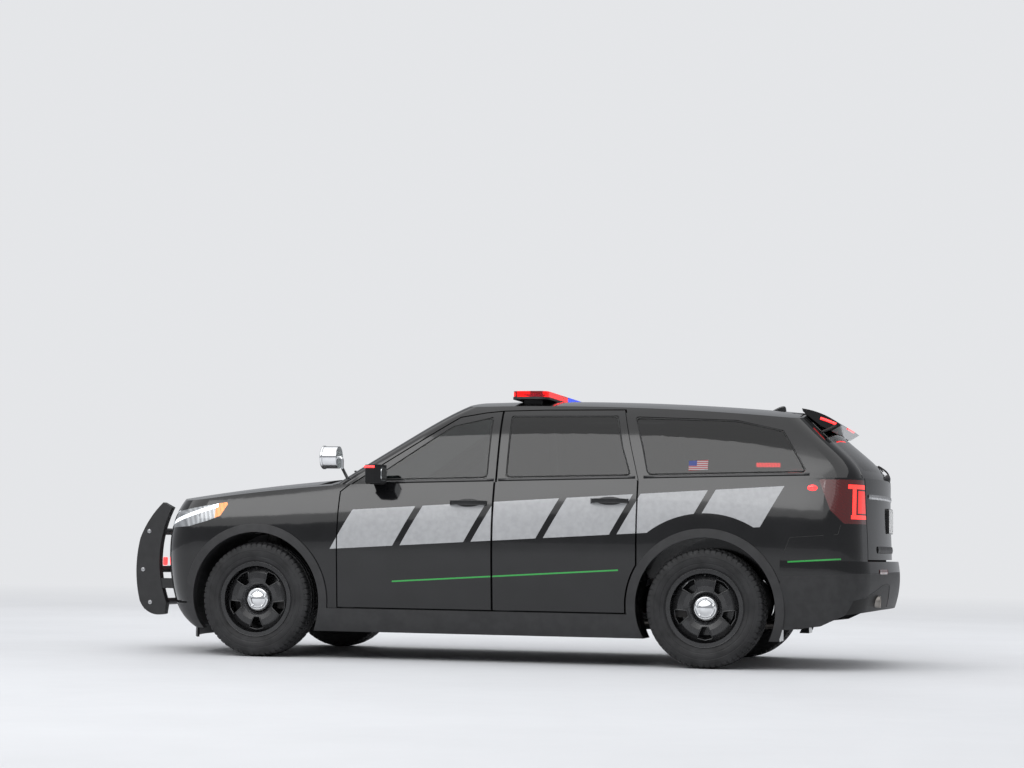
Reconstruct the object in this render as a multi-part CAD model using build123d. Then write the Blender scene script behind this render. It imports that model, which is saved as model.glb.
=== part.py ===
from build123d import *
import os
from math import asin, cos, degrees, radians, sin, sqrt

# Patrol sport utility vehicle with a push bumper, roof light bar and spotlight.
# Millimetres. X points forward, Y to the left and Z up. The origin is on the ground,
# midway between the axles.

# Running gear
WHEELBASE = 3025
TRACK = 1700
TYRE_RADIUS = 381.5
TYRE_WIDTH = 255
RIM_RADIUS = 234
RIM_WIDTH = 222
AXLE_FRONT = WHEELBASE / 2
AXLE_REAR = -WHEELBASE / 2
WHEEL_Y = TRACK / 2
HUB_FACE = 36
CENTRE_BORE = 70.5

# Clearances
FIT = 0.3
PANEL_GAP = 6
DOOR_GAP = 7
LEADING_GAP = 9
INNER_GAP = 12
SEAL_GAP = 8

# Body walls
SKIN = 32
DOOR_WALL = 120
DOOR_OUTER = 62
FRAME_WALL = 46
FRAME_OUTER = 24
ROOF_WALL = 34
HOOD_WALL = 30
BELT_WALL = 48
RABBET = 40
GLASS = 5
GLASS_RECESS = 4
CLADDING = 11
CORNER_LEAST = 60

# Body levels: height, nose X, nose sweep, tail X, tail sweep, half width at the nose, in the
# middle and at the tail, nose corner radius, tail corner radius
LOWER_LEVELS = [
    (180, 2220, 290, -2480, 130, 890, 918, 875, 250, 200),
    (420, 2370, 300, -2570, 150, 955, 965, 935, 270, 230),
    (640, 2397, 305, -2598, 160, 980, 985, 965, 285, 240),
    (900, 2372, 305, -2592, 160, 975, 988, 965, 285, 240),
    (1050, 2300, 290, -2590, 160, 920, 965, 940, 270, 240),
    (1240, 2050, 260, -2588, 160, 800, 915, 890, 240, 230),
]
LOWER_MIDDLE = 0
# The same columns for the glazed upper body
UPPER_LEVELS = [
    (1050, 1300, 140, -2440, 150, 880, 916, 850, 110, 150),
    (1225, 1015, 127, -2575, 140, 860, 888, 838, 110, 150),
    (1300, 892, 122, -2530, 130, 846, 866, 815, 110, 150),
    (1450, 644, 112, -2366, 115, 803, 820, 768, 110, 150),
    (1600, 395, 100, -2200, 100, 738, 756, 703, 110, 150),
    (1700, 205, 90, -2080, 90, 655, 680, 625, 110, 150),
    (1790, -40, 80, -1900, 80, 540, 570, 520, 110, 150),
]
UPPER_MIDDLE = -600
# The same columns for the rear bumper cover
BUMPER_LEVELS = [
    (255, 2200, 300, -2560, 150, 900, 935, 900, 200, 200),
    (420, 2200, 300, -2630, 165, 950, 965, 940, 200, 235),
    (560, 2200, 300, -2652.5, 170, 950, 980, 965, 200, 245),
    (700, 2200, 300, -2640, 165, 950, 987, 966, 200, 245),
]

# Domes of the roof and the hood: peak X, peak Z, radius along, radius across
ROOF_DOME = (-375, 1752, 17500, 3600)
HOOD_DOME = (0, 1257, 14000, 5500)

# Shoulder line and lower edge of the side glass, both falling to the front
BELT_Z = 1170
BELT_SLOPE = -0.019
SILL_Z = 1196
SILL_SLOPE = -0.0239

# Lengthwise stations
COWL_X = 1020
FIREWALL_FRONT = 1090
HOOD_REAR = 1128
FASCIA_X = 1985
DOOR_FRONT = 944
DOOR_SPLIT = -120
DOOR_REAR = -1078
CARGO_X = -1060
BUMPER_FRONT = -1990

# Heights
BODY_LOW = 180
FLOOR_Z = 330
FLOOR_UNDER = 285
CARGO_Z = 690
CARGO_UNDER = 640
DOOR_BOTTOM = 335
FENDER_TOP = 1142
DOOR_TOP = 1660
SPLIT_TOP = 1654
BUMPER_TOP = 690
HOOD_NOSE_Z = 985
GRILLE_LOW = 610
GRILLE_HIGH = 965
GRILLE_HALF = 530

# Wheel openings
ARCH_RADIUS = 447
CLADDING_RADIUS = 503
WELL_WALL = 30
FRONT_WELL_Y = 505
REAR_WELL_Y = 640
UNDER_HALF = REAR_WELL_Y - WELL_WALL
ARM_OPENING_Z = 560

# Hinges
DOOR_HINGE_BACK = 60
DOOR_HINGE_IN = 22
DOOR_HINGE_HEIGHTS = (620, 900)
DOOR_SWING_RADIUS = 97
PIN_RADIUS = 7
EYE_RADIUS = 11
GATE_HINGE_X = -2010
GATE_HINGE_DROP = 34
GATE_HINGE_Y = 400
ROOF_EDGE_RADIUS = 62
HOOD_HINGE_X = 1106
HOOD_HINGE_Z = 1146
HOOD_HINGE_Y = 640
HOOD_ARM = 14

# Extent of cutting tools, well past the body
REACH = 2800
WIDE = 1150


def belt(x):
    """Height of the body's shoulder at a station."""
    return BELT_Z + BELT_SLOPE * x


def sill(x):
    """Height of the lower edge of the side glass at a station."""
    return SILL_Z + SILL_SLOPE * x


def roof_z(x):
    """Height of the roof on the centre line."""
    peak_x, peak_z, along, across = ROOF_DOME
    return peak_z - (x - peak_x) ** 2 / (2 * along)


def rounded(points, radius=0):
    """Polygon with its corners rounded."""
    face = Polygon(*points, align=None)
    return fillet(face.vertices(), radius) if radius else face


def side_prism(outline, near, far):
    """Side-view outline in X and Z, as a prism between two values of Y."""
    return extrude(Plane.XZ.offset(-near) * outline, far - near, dir=(0, 1, 0))


def front_prism(outline, near, far):
    """Front-view outline in Y and Z, as a prism between two values of X."""
    return extrude(Plane.YZ.offset(near) * outline, far - near, dir=(1, 0, 0))


def plan_prism(outline, low, high):
    """Plan outline in X and Y, as a prism between two heights."""
    return extrude(Plane.XY.offset(low) * outline, high - low, dir=(0, 0, 1))


def block(x0, x1, y0, y1, z0, z1):
    """Box between two corners."""
    return Pos((x0 + x1) / 2, (y0 + y1) / 2, (z0 + z1) / 2) * Box(x1 - x0, y1 - y0, z1 - z0)


def cross_cylinder(x, z, radius, near, far):
    """Cylinder across the vehicle between two values of Y."""
    return side_prism(Pos(x, z) * Circle(radius), near, far)


def upright_cylinder(x, y, radius, low, high):
    """Vertical cylinder between two heights."""
    return plan_prism(Pos(x, y) * Circle(radius), low, high)


def mirrored(shape):
    """The right-hand copy of a left-hand piece."""
    return mirror(shape, about=Plane.XZ)


def both(shape):
    """A left piece together with its mirror image."""
    return Compound(children=[*shape.solids(), *mirrored(shape).solids()])


def bar(points, radius, bend=0):
    """Round bar along straight runs, joined by arcs."""
    path = FilletPolyline(*points, radius=bend) if bend else Line(*points)
    return sweep(Plane(origin=path @ 0, z_dir=path % 0) * Circle(radius), path)


# Outer form of the body and the parallel forms inside it
def plan(level, inset, middle):
    """Closed plan outline at one level: nose, side and tail arcs with rounded corners."""
    z, nose, nose_sweep, tail, tail_sweep, half_nose, half_middle, half_tail, nose_r, tail_r = level
    nose_x = nose - inset - nose_sweep
    tail_x = tail + inset + tail_sweep
    front_left = (nose_x, half_nose - inset)
    front_right = (nose_x, inset - half_nose)
    rear_left = (tail_x, half_tail - inset)
    rear_right = (tail_x, inset - half_tail)
    face = make_face([
        ThreePointArc(front_right, (nose - inset, 0), front_left),
        ThreePointArc(front_left, (middle, half_middle - inset), rear_left),
        ThreePointArc(rear_left, (tail + inset, 0), rear_right),
        ThreePointArc(rear_right, (middle, inset - half_middle), front_right),
    ])
    face = fillet(face.vertices().sort_by(Axis.X)[-2:], max(nose_r - inset, CORNER_LEAST))
    face = fillet(face.vertices().sort_by(Axis.X)[:2], max(tail_r - inset, CORNER_LEAST))
    return Pos(0, 0, z) * face


def stack(levels, inset, middle):
    """Body lofted through its levels, with its walls moved in."""
    return loft([plan(level, inset, middle) for level in levels])


def under_dome(shape, drop, from_x, to_x):
    """Everything under a crowned surface that is lowered by the drop."""
    peak_x, peak_z, along, across = shape
    depth = 1500
    sag = across - sqrt(across**2 - WIDE**2)
    top = peak_z - drop
    section = make_face([
        Line((WIDE, top - depth), (-WIDE, top - depth)),
        Line((-WIDE, top - depth), (-WIDE, top - sag)),
        ThreePointArc((-WIDE, top - sag), (0, top), (WIDE, top - sag)),
        Line((WIDE, top - sag), (WIDE, top - depth)),
    ])
    axis = Axis((peak_x, 0, top - along), (0, 1, 0))
    start = degrees(asin((from_x - peak_x) / along))
    end = degrees(asin((to_x - peak_x) / along))
    return revolve((Plane.YZ.offset(peak_x) * section).rotate(axis, start), axis, end - start)


def body_form(lower_inset, upper_inset, top_drop, belt_drop):
    """Closed form from nose to tail, with its walls moved in and its top faces lowered."""
    joint_x = 1000
    below_hood = under_dome(HOOD_DOME, top_drop, 0, REACH) & block(joint_x, REACH, -WIDE, WIDE, 0, 2000)
    below_belt = side_prism(
        rounded([(-REACH, 0), (joint_x, 0), (joint_x, belt(joint_x) - belt_drop),
                 (-REACH, belt(-REACH) - belt_drop)]), -WIDE, WIDE)
    lower = stack(LOWER_LEVELS, lower_inset, LOWER_MIDDLE) & (below_hood + below_belt)
    upper = stack(UPPER_LEVELS, upper_inset, UPPER_MIDDLE) & under_dome(ROOF_DOME, top_drop, -REACH, 1400)
    return lower + upper


OUTER = body_form(0, 0, 0, 0)
INNER = body_form(SKIN, SKIN, HOOD_WALL, SKIN)
BEHIND_DOOR = body_form(DOOR_OUTER, FRAME_OUTER, ROOF_WALL, BELT_WALL)
DOOR_BACK = body_form(DOOR_OUTER - SEAL_GAP, FRAME_OUTER - SEAL_GAP, FRAME_OUTER - SEAL_GAP, BELT_WALL - SEAL_GAP)
SKIN_FORM = OUTER - INNER


def cabin():
    """Space inside the cabin walls, over the floor, the load floor and the wheel houses."""
    scuttle_under = 1190
    form = body_form(DOOR_WALL, FRAME_WALL, ROOF_WALL, BELT_WALL + SEAL_GAP)
    form -= block(COWL_X, REACH, -WIDE, WIDE, 0, scuttle_under)
    form -= block(-REACH, REACH, -WIDE, WIDE, 0, FLOOR_Z)
    form -= block(-REACH, CARGO_X, -WIDE, WIDE, 0, CARGO_Z)
    house = cross_cylinder(AXLE_REAR, TYRE_RADIUS, ARCH_RADIUS + WELL_WALL, REAR_WELL_Y - WELL_WALL, WIDE)
    return form - house - mirrored(house)


WALL = OUTER - cabin()

# Side-view outlines of the openings and their glass, X and Z
FRONT_DOOR = rounded([(DOOR_FRONT, DOOR_BOTTOM), (DOOR_FRONT, 1105), (872, 1166), (172, 1612),
                      (0, 1642), (DOOR_SPLIT, SPLIT_TOP), (DOOR_SPLIT, DOOR_BOTTOM)])
ARCH_GAP_RADIUS = CLADDING_RADIUS + PANEL_GAP
ARC_TOP_Z = TYRE_RADIUS + sqrt(ARCH_GAP_RADIUS**2 - (DOOR_REAR - AXLE_REAR) ** 2)
ARC_LOW_Z = TYRE_RADIUS + 25
ARC_LOW_X = AXLE_REAR + sqrt(ARCH_GAP_RADIUS**2 - (ARC_LOW_Z - TYRE_RADIUS) ** 2)
ARC_MIDDLE = radians(17)
REAR_DOOR = make_face([
    Line((DOOR_REAR, ARC_TOP_Z), (DOOR_REAR, 1180)),
    Line((DOOR_REAR, 1180), (-1010, 1420)),
    Line((-1010, 1420), (-950, DOOR_TOP)),
    Line((-950, DOOR_TOP), (-400, DOOR_TOP)),
    Line((-400, DOOR_TOP), (DOOR_SPLIT, SPLIT_TOP)),
    Line((DOOR_SPLIT, SPLIT_TOP), (DOOR_SPLIT, DOOR_BOTTOM)),
    Line((DOOR_SPLIT, DOOR_BOTTOM), (ARC_LOW_X, DOOR_BOTTOM)),
    Line((ARC_LOW_X, DOOR_BOTTOM), (ARC_LOW_X, ARC_LOW_Z)),
    ThreePointArc((ARC_LOW_X, ARC_LOW_Z),
                  (AXLE_REAR + ARCH_GAP_RADIUS * cos(ARC_MIDDLE),
                   TYRE_RADIUS + ARCH_GAP_RADIUS * sin(ARC_MIDDLE)),
                  (DOOR_REAR, ARC_TOP_Z)),
])
FRONT_WINDOW = rounded([(752, sill(752)), (212, 1552), (-62, 1614), (-62, sill(-62))], 16)
REAR_WINDOW = rounded([(-182, sill(-182)), (-182, 1618), (-905, 1618), (-955, 1400), (-1020, sill(-1020))], 16)
QUARTER_WINDOW = rounded([(-1132, sill(-1132)), (-1082, 1420), (-1012, 1612), (-1680, 1588),
                          (-1985, 1520), (-2150, sill(-2150))], 18)
WINDSCREEN = rounded([(-790, 1180), (790, 1180), (590, 1668), (-590, 1668)], 40)
GATE_WINDOW = rounded([(-660, 1268), (660, 1268), (545, 1560), (-545, 1560)], 40)


# Doors
SIDE_NEAR = 560


def inner_step(outline):
    """The narrower inner outline of a door: flush at its leading edge, drawn in elsewhere."""
    return outline & (Pos(RABBET, RABBET) * outline) & (Pos(RABBET, -RABBET) * outline)


def drawn_in(outline, lead, others):
    """Outline drawn in by the panel gap, with its own gap at the leading edge."""
    smaller = offset(outline, -others, kind=Kind.INTERSECTION)
    return smaller & (Pos(others - lead, 0) * smaller)


def hinge_axis(lead_x):
    """X and Y of a door's hinge pin, behind the leading edge of its skin."""
    level = LOWER_LEVELS[2]
    return lead_x - DOOR_HINGE_BACK, level[6] - DOOR_HINGE_IN


def door_opening(outline):
    """Stepped hole that a door leaves in the body side, with room at the foot for its leading edge to swing."""
    opening = side_prism(outline, SIDE_NEAR, WIDE)
    pin_x, pin_y = hinge_axis(outline.bounding_box().max.X - LEADING_GAP)
    swing = upright_cylinder(pin_x, pin_y, DOOR_SWING_RADIUS, DOOR_BOTTOM, DOOR_BOTTOM + RABBET + 5)
    return [opening - BEHIND_DOOR, side_prism(inner_step(outline), SIDE_NEAR, WIDE), opening & swing]


HINGE_POCKET = 84
HINGE_HEIGHT = 44


def door_leaf(outline, window, lead_gap):
    """Door in its full thickness, with its window, its hinge pockets and its hinge pins."""
    outer = side_prism(drawn_in(outline, lead_gap, DOOR_GAP), SIDE_NEAR, WIDE) - DOOR_BACK
    inner = side_prism(drawn_in(inner_step(outline), lead_gap, INNER_GAP), SIDE_NEAR, WIDE)
    leaf = (WALL & outer) + (WALL & inner)
    leaf -= side_prism(window, SIDE_NEAR, WIDE)
    lead_x = outline.bounding_box().max.X - lead_gap
    pin_x, pin_y = hinge_axis(lead_x)
    for z in DOOR_HINGE_HEIGHTS:
        low, high = z - HINGE_POCKET / 2, z + HINGE_POCKET / 2
        leaf -= block(pin_x - EYE_RADIUS - 5, lead_x + 1, SIDE_NEAR, pin_y + EYE_RADIUS + 2, low, high)
        leaf += upright_cylinder(pin_x, pin_y, PIN_RADIUS, low, high)
    return leaf


def hinge_strap(outline, lead_gap, z):
    """Goose-neck strap from the pillar, inboard round the door's edge, to the pin."""
    half = EYE_RADIUS / 2
    lead_x = outline.bounding_box().max.X - lead_gap
    pin_x, pin_y = hinge_axis(lead_x)
    inboard = pin_y - 82
    low, high = z - HINGE_HEIGHT / 2, z + HINGE_HEIGHT / 2
    pillar_x = outline.bounding_box().max.X
    strap = upright_cylinder(pin_x, pin_y, EYE_RADIUS, low, high)
    strap += block(pin_x - half, pin_x + half, inboard, pin_y, low, high)
    strap += block(pin_x - half, pillar_x, inboard - half, inboard + half, low, high)
    return strap - upright_cylinder(pin_x, pin_y, PIN_RADIUS + FIT, low, high)


# Hood, fenders and front fascia
HOOD_PLAN = make_face([
    Line((HOOD_REAR, 842), (1700, 806)),
    Line((1700, 806), (2120, 690)),
    Line((2120, 690), (2420, 610)),
    Line((2420, 610), (2420, -610)),
    Line((2420, -610), (2120, -690)),
    Line((2120, -690), (1700, -806)),
    Line((1700, -806), (HOOD_REAR, -842)),
    Line((HOOD_REAR, -842), (HOOD_REAR, 842)),
])
HEADLAMP_SIDE = rounded([(1722, 1030), (1775, 935), (1865, 900), (2000, 862), (2400, 838),
                         (2400, 962), (2085, 968)], 12)
HEADLAMP_INNER_Y = 548
GRILLE_FRONT = rounded([(-GRILLE_HALF, GRILLE_HIGH), (-GRILLE_HALF + 70, GRILLE_LOW),
                        (GRILLE_HALF - 70, GRILLE_LOW), (GRILLE_HALF, GRILLE_HIGH)], 30)
INTAKE_FRONT = rounded([(-520, 300), (-560, 520), (560, 520), (520, 300)], 30)
FOG_POCKET = rounded([(650, 440), (640, 545), (792, 572), (818, 470), (780, 430)], 14)
CHIN_GROOVE = (345, 362)
RELIEF = 20
AIR_DAM_LOW = 112
AIR_DAM_REAR = 2015
AIR_DAM_WALL = 14


def hood_zone(gap):
    """Space over the engine bay that the hood closes, drawn in by a gap."""
    outline = offset(HOOD_PLAN, -gap, kind=Kind.INTERSECTION) if gap else HOOD_PLAN
    return plan_prism(outline, HOOD_NOSE_Z + gap, 1400)


def headlamp_zone():
    """Space that the left headlamp fills in the skin."""
    return side_prism(HEADLAMP_SIDE, HEADLAMP_INNER_Y, WIDE)


def well(axle_x, radius, near):
    """Left wheel opening."""
    return cross_cylinder(axle_x, TYRE_RADIUS, radius, near, WIDE)


def fender():
    """Left front fender."""
    zone = side_prism(rounded([(DOOR_FRONT, BODY_LOW), (DOOR_FRONT, 1105), (900, FENDER_TOP), (900, 1400),
                               (FASCIA_X, 1400), (FASCIA_X, BODY_LOW)]), SIDE_NEAR, WIDE)
    skin = SKIN_FORM & zone
    skin -= block(0, HOOD_REAR, -WIDE, WIDE, FENDER_TOP, 1400)
    skin -= hood_zone(0)
    skin -= headlamp_zone()
    return skin - well(AXLE_FRONT, ARCH_RADIUS, FRONT_WELL_Y)


def air_dam():
    """Thin lip that hangs below the front bumper cover and follows its outline."""
    outer, inner = (plan(LOWER_LEVELS[0], inset, LOWER_MIDDLE) for inset in (8, 8 + AIR_DAM_WALL))
    lip = extrude(outer - inner, BODY_LOW - AIR_DAM_LOW, dir=(0, 0, -1))
    lip += extrude(outer - inner, 6, dir=(0, 0, 1))
    return lip & block(AIR_DAM_REAR, REACH, -WIDE, WIDE, 0, 400)


def fascia():
    """Front bumper cover with its grille and intake openings, lamp pockets and air dam."""
    skin = SKIN_FORM & block(FASCIA_X, REACH, -WIDE, WIDE, 0, 1400)
    skin -= hood_zone(0)
    pocket = front_prism(FOG_POCKET, FASCIA_X, REACH)
    relief = pocket + mirrored(pocket) + block(AIR_DAM_REAR, REACH, -WIDE, WIDE, *CHIN_GROOVE)
    skin -= [
        headlamp_zone(),
        mirrored(headlamp_zone()),
        front_prism(GRILLE_FRONT, FASCIA_X, REACH),
        front_prism(INTAKE_FRONT, FASCIA_X, REACH),
        relief - stack(LOWER_LEVELS, RELIEF, LOWER_MIDDLE),
    ]
    return skin + air_dam()


def hood():
    """Hood panel with its hinge arms."""
    panel = SKIN_FORM & hood_zone(PANEL_GAP)
    arm_outline = rounded([(HOOD_HINGE_X - 10, HOOD_HINGE_Z - 10), (HOOD_HINGE_X + 120, HOOD_HINGE_Z - 26),
                           (HOOD_HINGE_X + 120, HOOD_HINGE_Z - 6), (HOOD_HINGE_X + 32, HOOD_HINGE_Z - 2),
                           (HOOD_HINGE_X + 10, HOOD_HINGE_Z + 10), (HOOD_HINGE_X - 10, HOOD_HINGE_Z + 10)], 3)
    arm_outline -= Pos(HOOD_HINGE_X, HOOD_HINGE_Z) * Circle(PIN_RADIUS + FIT)
    for y in (HOOD_HINGE_Y, -HOOD_HINGE_Y):
        panel += side_prism(arm_outline, y - HOOD_ARM / 2, y + HOOD_ARM / 2)
    return panel


GRILLE_BARS = 6
GRILLE_BAR = 14


def grille():
    """Curved bars in a frame behind the fascia opening."""
    ring = INNER & block(2000, REACH, -WIDE, WIDE, GRILLE_LOW, GRILLE_HIGH)
    ring -= stack(LOWER_LEVELS, SKIN + 24, LOWER_MIDDLE)
    opening = front_prism(GRILLE_FRONT, FASCIA_X, REACH)
    frame = opening - front_prism(offset(GRILLE_FRONT, -16), FASCIA_X, REACH)
    pitch = (GRILLE_HIGH - GRILLE_LOW) / (GRILLE_BARS + 1)
    for number in range(GRILLE_BARS):
        z = GRILLE_LOW + pitch * (number + 1)
        frame += opening & block(FASCIA_X, REACH, -WIDE, WIDE, z - GRILLE_BAR / 2, z + GRILLE_BAR / 2)
    return ring & frame


# Tailgate: its sides lean in above the belt and stand upright again beside the hinges
GATE_FRONT = rounded([(-712, BUMPER_TOP), (-712, 1240), (-612, 1580), (-612, 1800),
                      (612, 1800), (612, 1580), (712, 1240), (712, BUMPER_TOP)])
GATE_GAP = 11
GATE_INNER_GAP = 26
GATE_HINGE_Z = roof_z(GATE_HINGE_X) - GATE_HINGE_DROP


def gate_zone(gap):
    """Space of the tailgate behind the roof's rounded edge."""
    outline = offset(GATE_FRONT, -gap, kind=Kind.INTERSECTION) if gap else GATE_FRONT
    zone = front_prism(outline, -REACH, GATE_HINGE_X)
    return zone - cross_cylinder(GATE_HINGE_X, GATE_HINGE_Z, ROOF_EDGE_RADIUS + gap, -WIDE, WIDE)


SPOILER_HALF = 600
GATE_ARM = 30
PLATE_PAD_X = -2600
PLATE_Z = 955
PLATE_PAD = (320, 166)
PLATE_HOLES = (177.8, 120.65)
PLATE_HOLE_RADIUS = 3.2


def spoiler():
    """Roof spoiler that carries the high stop lamp."""
    profile = make_face([
        Line((-2088, 1650), (-2080, 1672)),
        ThreePointArc((-2080, 1672), (-2215, 1634), (-2335, 1562)),
        Line((-2335, 1562), (-2272, 1524)),
        Line((-2272, 1524), (-2200, 1560)),
        Line((-2200, 1560), (-2088, 1650)),
    ])
    wing = side_prism(profile, -SPOILER_HALF, SPOILER_HALF)
    return wing - OUTER


def tailgate():
    """Tailgate with its narrower inner frame, spoiler, window opening, plate pad and hinge arms."""
    gate = WALL & gate_zone(GATE_GAP)
    inner_zone = front_prism(offset(GATE_FRONT, -GATE_INNER_GAP, kind=Kind.INTERSECTION), -REACH, REACH)
    gate -= DOOR_BACK - inner_zone
    gate -= front_prism(GATE_WINDOW, -REACH, -1900)
    gate += spoiler()
    gate += front_prism(Pos(0, PLATE_Z) * RectangleRounded(*PLATE_PAD, 14), PLATE_PAD_X, PLATE_PAD_X + 30)
    for hole in GridLocations(*PLATE_HOLES, 2, 2):
        gate -= front_prism(Pos(0, PLATE_Z) * hole * Circle(PLATE_HOLE_RADIUS), PLATE_PAD_X - 1, PLATE_PAD_X + 26)
    for y in (GATE_HINGE_Y, -GATE_HINGE_Y):
        arm = block(GATE_HINGE_X - 100, GATE_HINGE_X, y - GATE_ARM / 2, y + GATE_ARM / 2,
                    GATE_HINGE_Z - 9, GATE_HINGE_Z + 9)
        arm += cross_cylinder(GATE_HINGE_X, GATE_HINGE_Z, 12, y - GATE_ARM / 2, y + GATE_ARM / 2)
        arm -= cross_cylinder(GATE_HINGE_X, GATE_HINGE_Z, PIN_RADIUS + FIT, y - GATE_ARM, y + GATE_ARM)
        gate += arm
    return gate


def roof_hinge_slot(y):
    """Notch in the roof's rear edge that a tailgate hinge arm swings through."""
    half = GATE_ARM / 2 + PANEL_GAP
    return block(GATE_HINGE_X - 80, GATE_HINGE_X + 20, y - half, y + half, GATE_HINGE_Z - 22, 1800)


def roof_hinge_pin(y):
    """Pin across a hinge notch."""
    half = GATE_ARM / 2 + PANEL_GAP
    return cross_cylinder(GATE_HINGE_X, GATE_HINGE_Z, PIN_RADIUS, y - half, y + half)


TAIL_LAMP_SIDE = rounded([(-2225, 1203), (-2700, 1203), (-2700, 925), (-2385, 925), (-2300, 1010)], 10)
TAIL_LAMP_INNER_Y = 718


def tail_lamp_zone():
    """Space that the left tail lamp fills at the body's corner."""
    return side_prism(TAIL_LAMP_SIDE, TAIL_LAMP_INNER_Y, WIDE)


# Side views of the rear bumper cover, of its upper corners below the lamps and of the space it takes
BUMPER_SIDE = rounded([(BUMPER_FRONT, 250), (BUMPER_FRONT, BUMPER_TOP), (-REACH, BUMPER_TOP), (-REACH, 396),
                       (-2581, 382), (-2384, 353), (-2236, 282)])
BUMPER_CORNER = rounded([(BUMPER_FRONT, BUMPER_TOP), (-2051, 834), (-2350, 857), (-2366, 925), (-REACH, 925),
                         (-REACH, BUMPER_TOP)])
BUMPER_SPACE = rounded([(BUMPER_FRONT, 0), (BUMPER_FRONT, BUMPER_TOP), (-REACH, BUMPER_TOP), (-REACH, 0)])


def rear_bumper():
    """Rear bumper cover, wrapped round to the wheel openings and up to the lamps at its corners."""
    cover = stack(BUMPER_LEVELS, 0, LOWER_MIDDLE) - INNER
    cover &= side_prism(BUMPER_SIDE, -WIDE, WIDE)
    corner = (SKIN_FORM & side_prism(BUMPER_CORNER, SIDE_NEAR, WIDE)) - gate_zone(0)
    opening = well(AXLE_REAR, ARCH_RADIUS, REAR_WELL_Y)
    return cover + corner + mirrored(corner) - opening - mirrored(opening)


COWL_DROP = 60
COWL_FRONT_X = 1046
COWL_HALF = 812


def hood_hinge_bracket(y):
    """Two plates on the cowl floor with the hood's hinge pin between them."""
    arm = HOOD_ARM / 2 + FIT
    plate = 6
    outline = rounded([(HOOD_HINGE_X - 20, 1080), (HOOD_HINGE_X + 14, 1080), (HOOD_HINGE_X + 11, 1157),
                       (HOOD_HINGE_X - 11, 1157)], 4)
    bracket = side_prism(outline, y + arm, y + arm + plate)
    bracket += side_prism(outline, y - arm - plate, y - arm)
    return bracket + cross_cylinder(HOOD_HINGE_X, HOOD_HINGE_Z, PIN_RADIUS, y - arm - plate, y + arm + plate)


def body_shell():
    """Welded body: floor, pillars, roof, rear quarters, sills and bulkhead."""
    behind_fender = rounded([(DOOR_FRONT, 0), (DOOR_FRONT, 1105), (900, FENDER_TOP),
                             (1400, FENDER_TOP), (1400, 0)])
    side_cuts = [
        *door_opening(FRONT_DOOR),
        *door_opening(REAR_DOOR),
        side_prism(QUARTER_WINDOW, SIDE_NEAR, WIDE),
        well(AXLE_REAR, ARCH_RADIUS, REAR_WELL_Y),
        well(AXLE_FRONT, ARCH_RADIUS, FRONT_WELL_Y),
        tail_lamp_zone() - INNER,
        side_prism(BUMPER_CORNER, SIDE_NEAR, WIDE) - INNER,
        side_prism(behind_fender, SIDE_NEAR, WIDE) - INNER,
        roof_hinge_slot(GATE_HINGE_Y),
    ]
    middle_cuts = [
        block(HOOD_REAR, REACH, -WIDE, WIDE, 0, 2000),
        block(FIREWALL_FRONT, REACH, -WIDE, WIDE, 0, 1085),
        block(COWL_FRONT_X, HOOD_REAR, -COWL_HALF, COWL_HALF, 1000, 1400)
        - under_dome(HOOD_DOME, COWL_DROP, 0, REACH),
        side_prism(BUMPER_SPACE, -WIDE, WIDE) - INNER,
        screen_zone(),
        gate_zone(0),
        block(CARGO_X + 50, 1400, -780, 780, 0, FLOOR_UNDER),
        block(-1980, CARGO_X + 50, -UNDER_HALF, UNDER_HALF, 0, CARGO_UNDER),
        block(-1980, CARGO_X + 50, -700, 700, 0, ARM_OPENING_Z),
        block(-REACH, -1980, -880, 880, 0, CARGO_UNDER),
        block(-REACH, -1980, -WIDE, WIDE, 0, ARM_OPENING_Z),
    ]
    shell = WALL - [*side_cuts, *(mirrored(cut) for cut in side_cuts), *middle_cuts]
    for y in (GATE_HINGE_Y, -GATE_HINGE_Y):
        shell += roof_hinge_pin(y)
    for y in (HOOD_HINGE_Y, -HOOD_HINGE_Y):
        shell += hood_hinge_bracket(y)
    return shell


def screen_zone():
    """Space of the windscreen opening, above the scuttle."""
    opening = front_prism(WINDSCREEN, 0, 1300)
    return opening - under_dome(HOOD_DOME, -12, -100, 1400)


# Glass
GLASS_FORM = stack(UPPER_LEVELS, GLASS_RECESS, UPPER_MIDDLE) - stack(
    UPPER_LEVELS, GLASS_RECESS + GLASS, UPPER_MIDDLE)


def side_pane(window):
    """Left pane of curved glass that fills a window outline."""
    return GLASS_FORM & side_prism(window, SIDE_NEAR, WIDE)


# Cladding round the wheel openings and along the sills
SILL_TOP = DOOR_BOTTOM - 3


def cladding():
    """Left cladding: both wheel-arch lips joined by the sill moulding."""
    rings = []
    for axle in (AXLE_FRONT, AXLE_REAR):
        ring = Pos(axle, TYRE_RADIUS) * (Circle(CLADDING_RADIUS) - Circle(ARCH_RADIUS))
        rings.append(side_prism(ring, 800, WIDE))
    reach = AXLE_FRONT - ARCH_RADIUS
    moulding = rings[0] + rings[1] + block(-reach, reach, 800, WIDE, BODY_LOW, SILL_TOP)
    layer = stack(LOWER_LEVELS, -CLADDING, LOWER_MIDDLE) & moulding
    layer -= stack(LOWER_LEVELS, 0, LOWER_MIDDLE)
    layer -= stack(BUMPER_LEVELS, 0, LOWER_MIDDLE)
    return layer


# Wheels, made about the Y axis with the outboard side at +Y
FLANGE_RADIUS = 247
BEAD_RADIUS = 229
BARREL_WALL = 8
DISC_WALL = 8
DISC_BORE = CENTRE_BORE / 2
WINDOWS = 5
ROTOR_RADIUS = 172
ROTOR_Y = -38
CAP_RADIUS = 76


def turned(points):
    """Solid of revolution about the Y axis from points of Y and radius."""
    face = Polygon(*[(radius, y) for y, radius in points], align=None)
    return revolve(face, Axis.Y)


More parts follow.
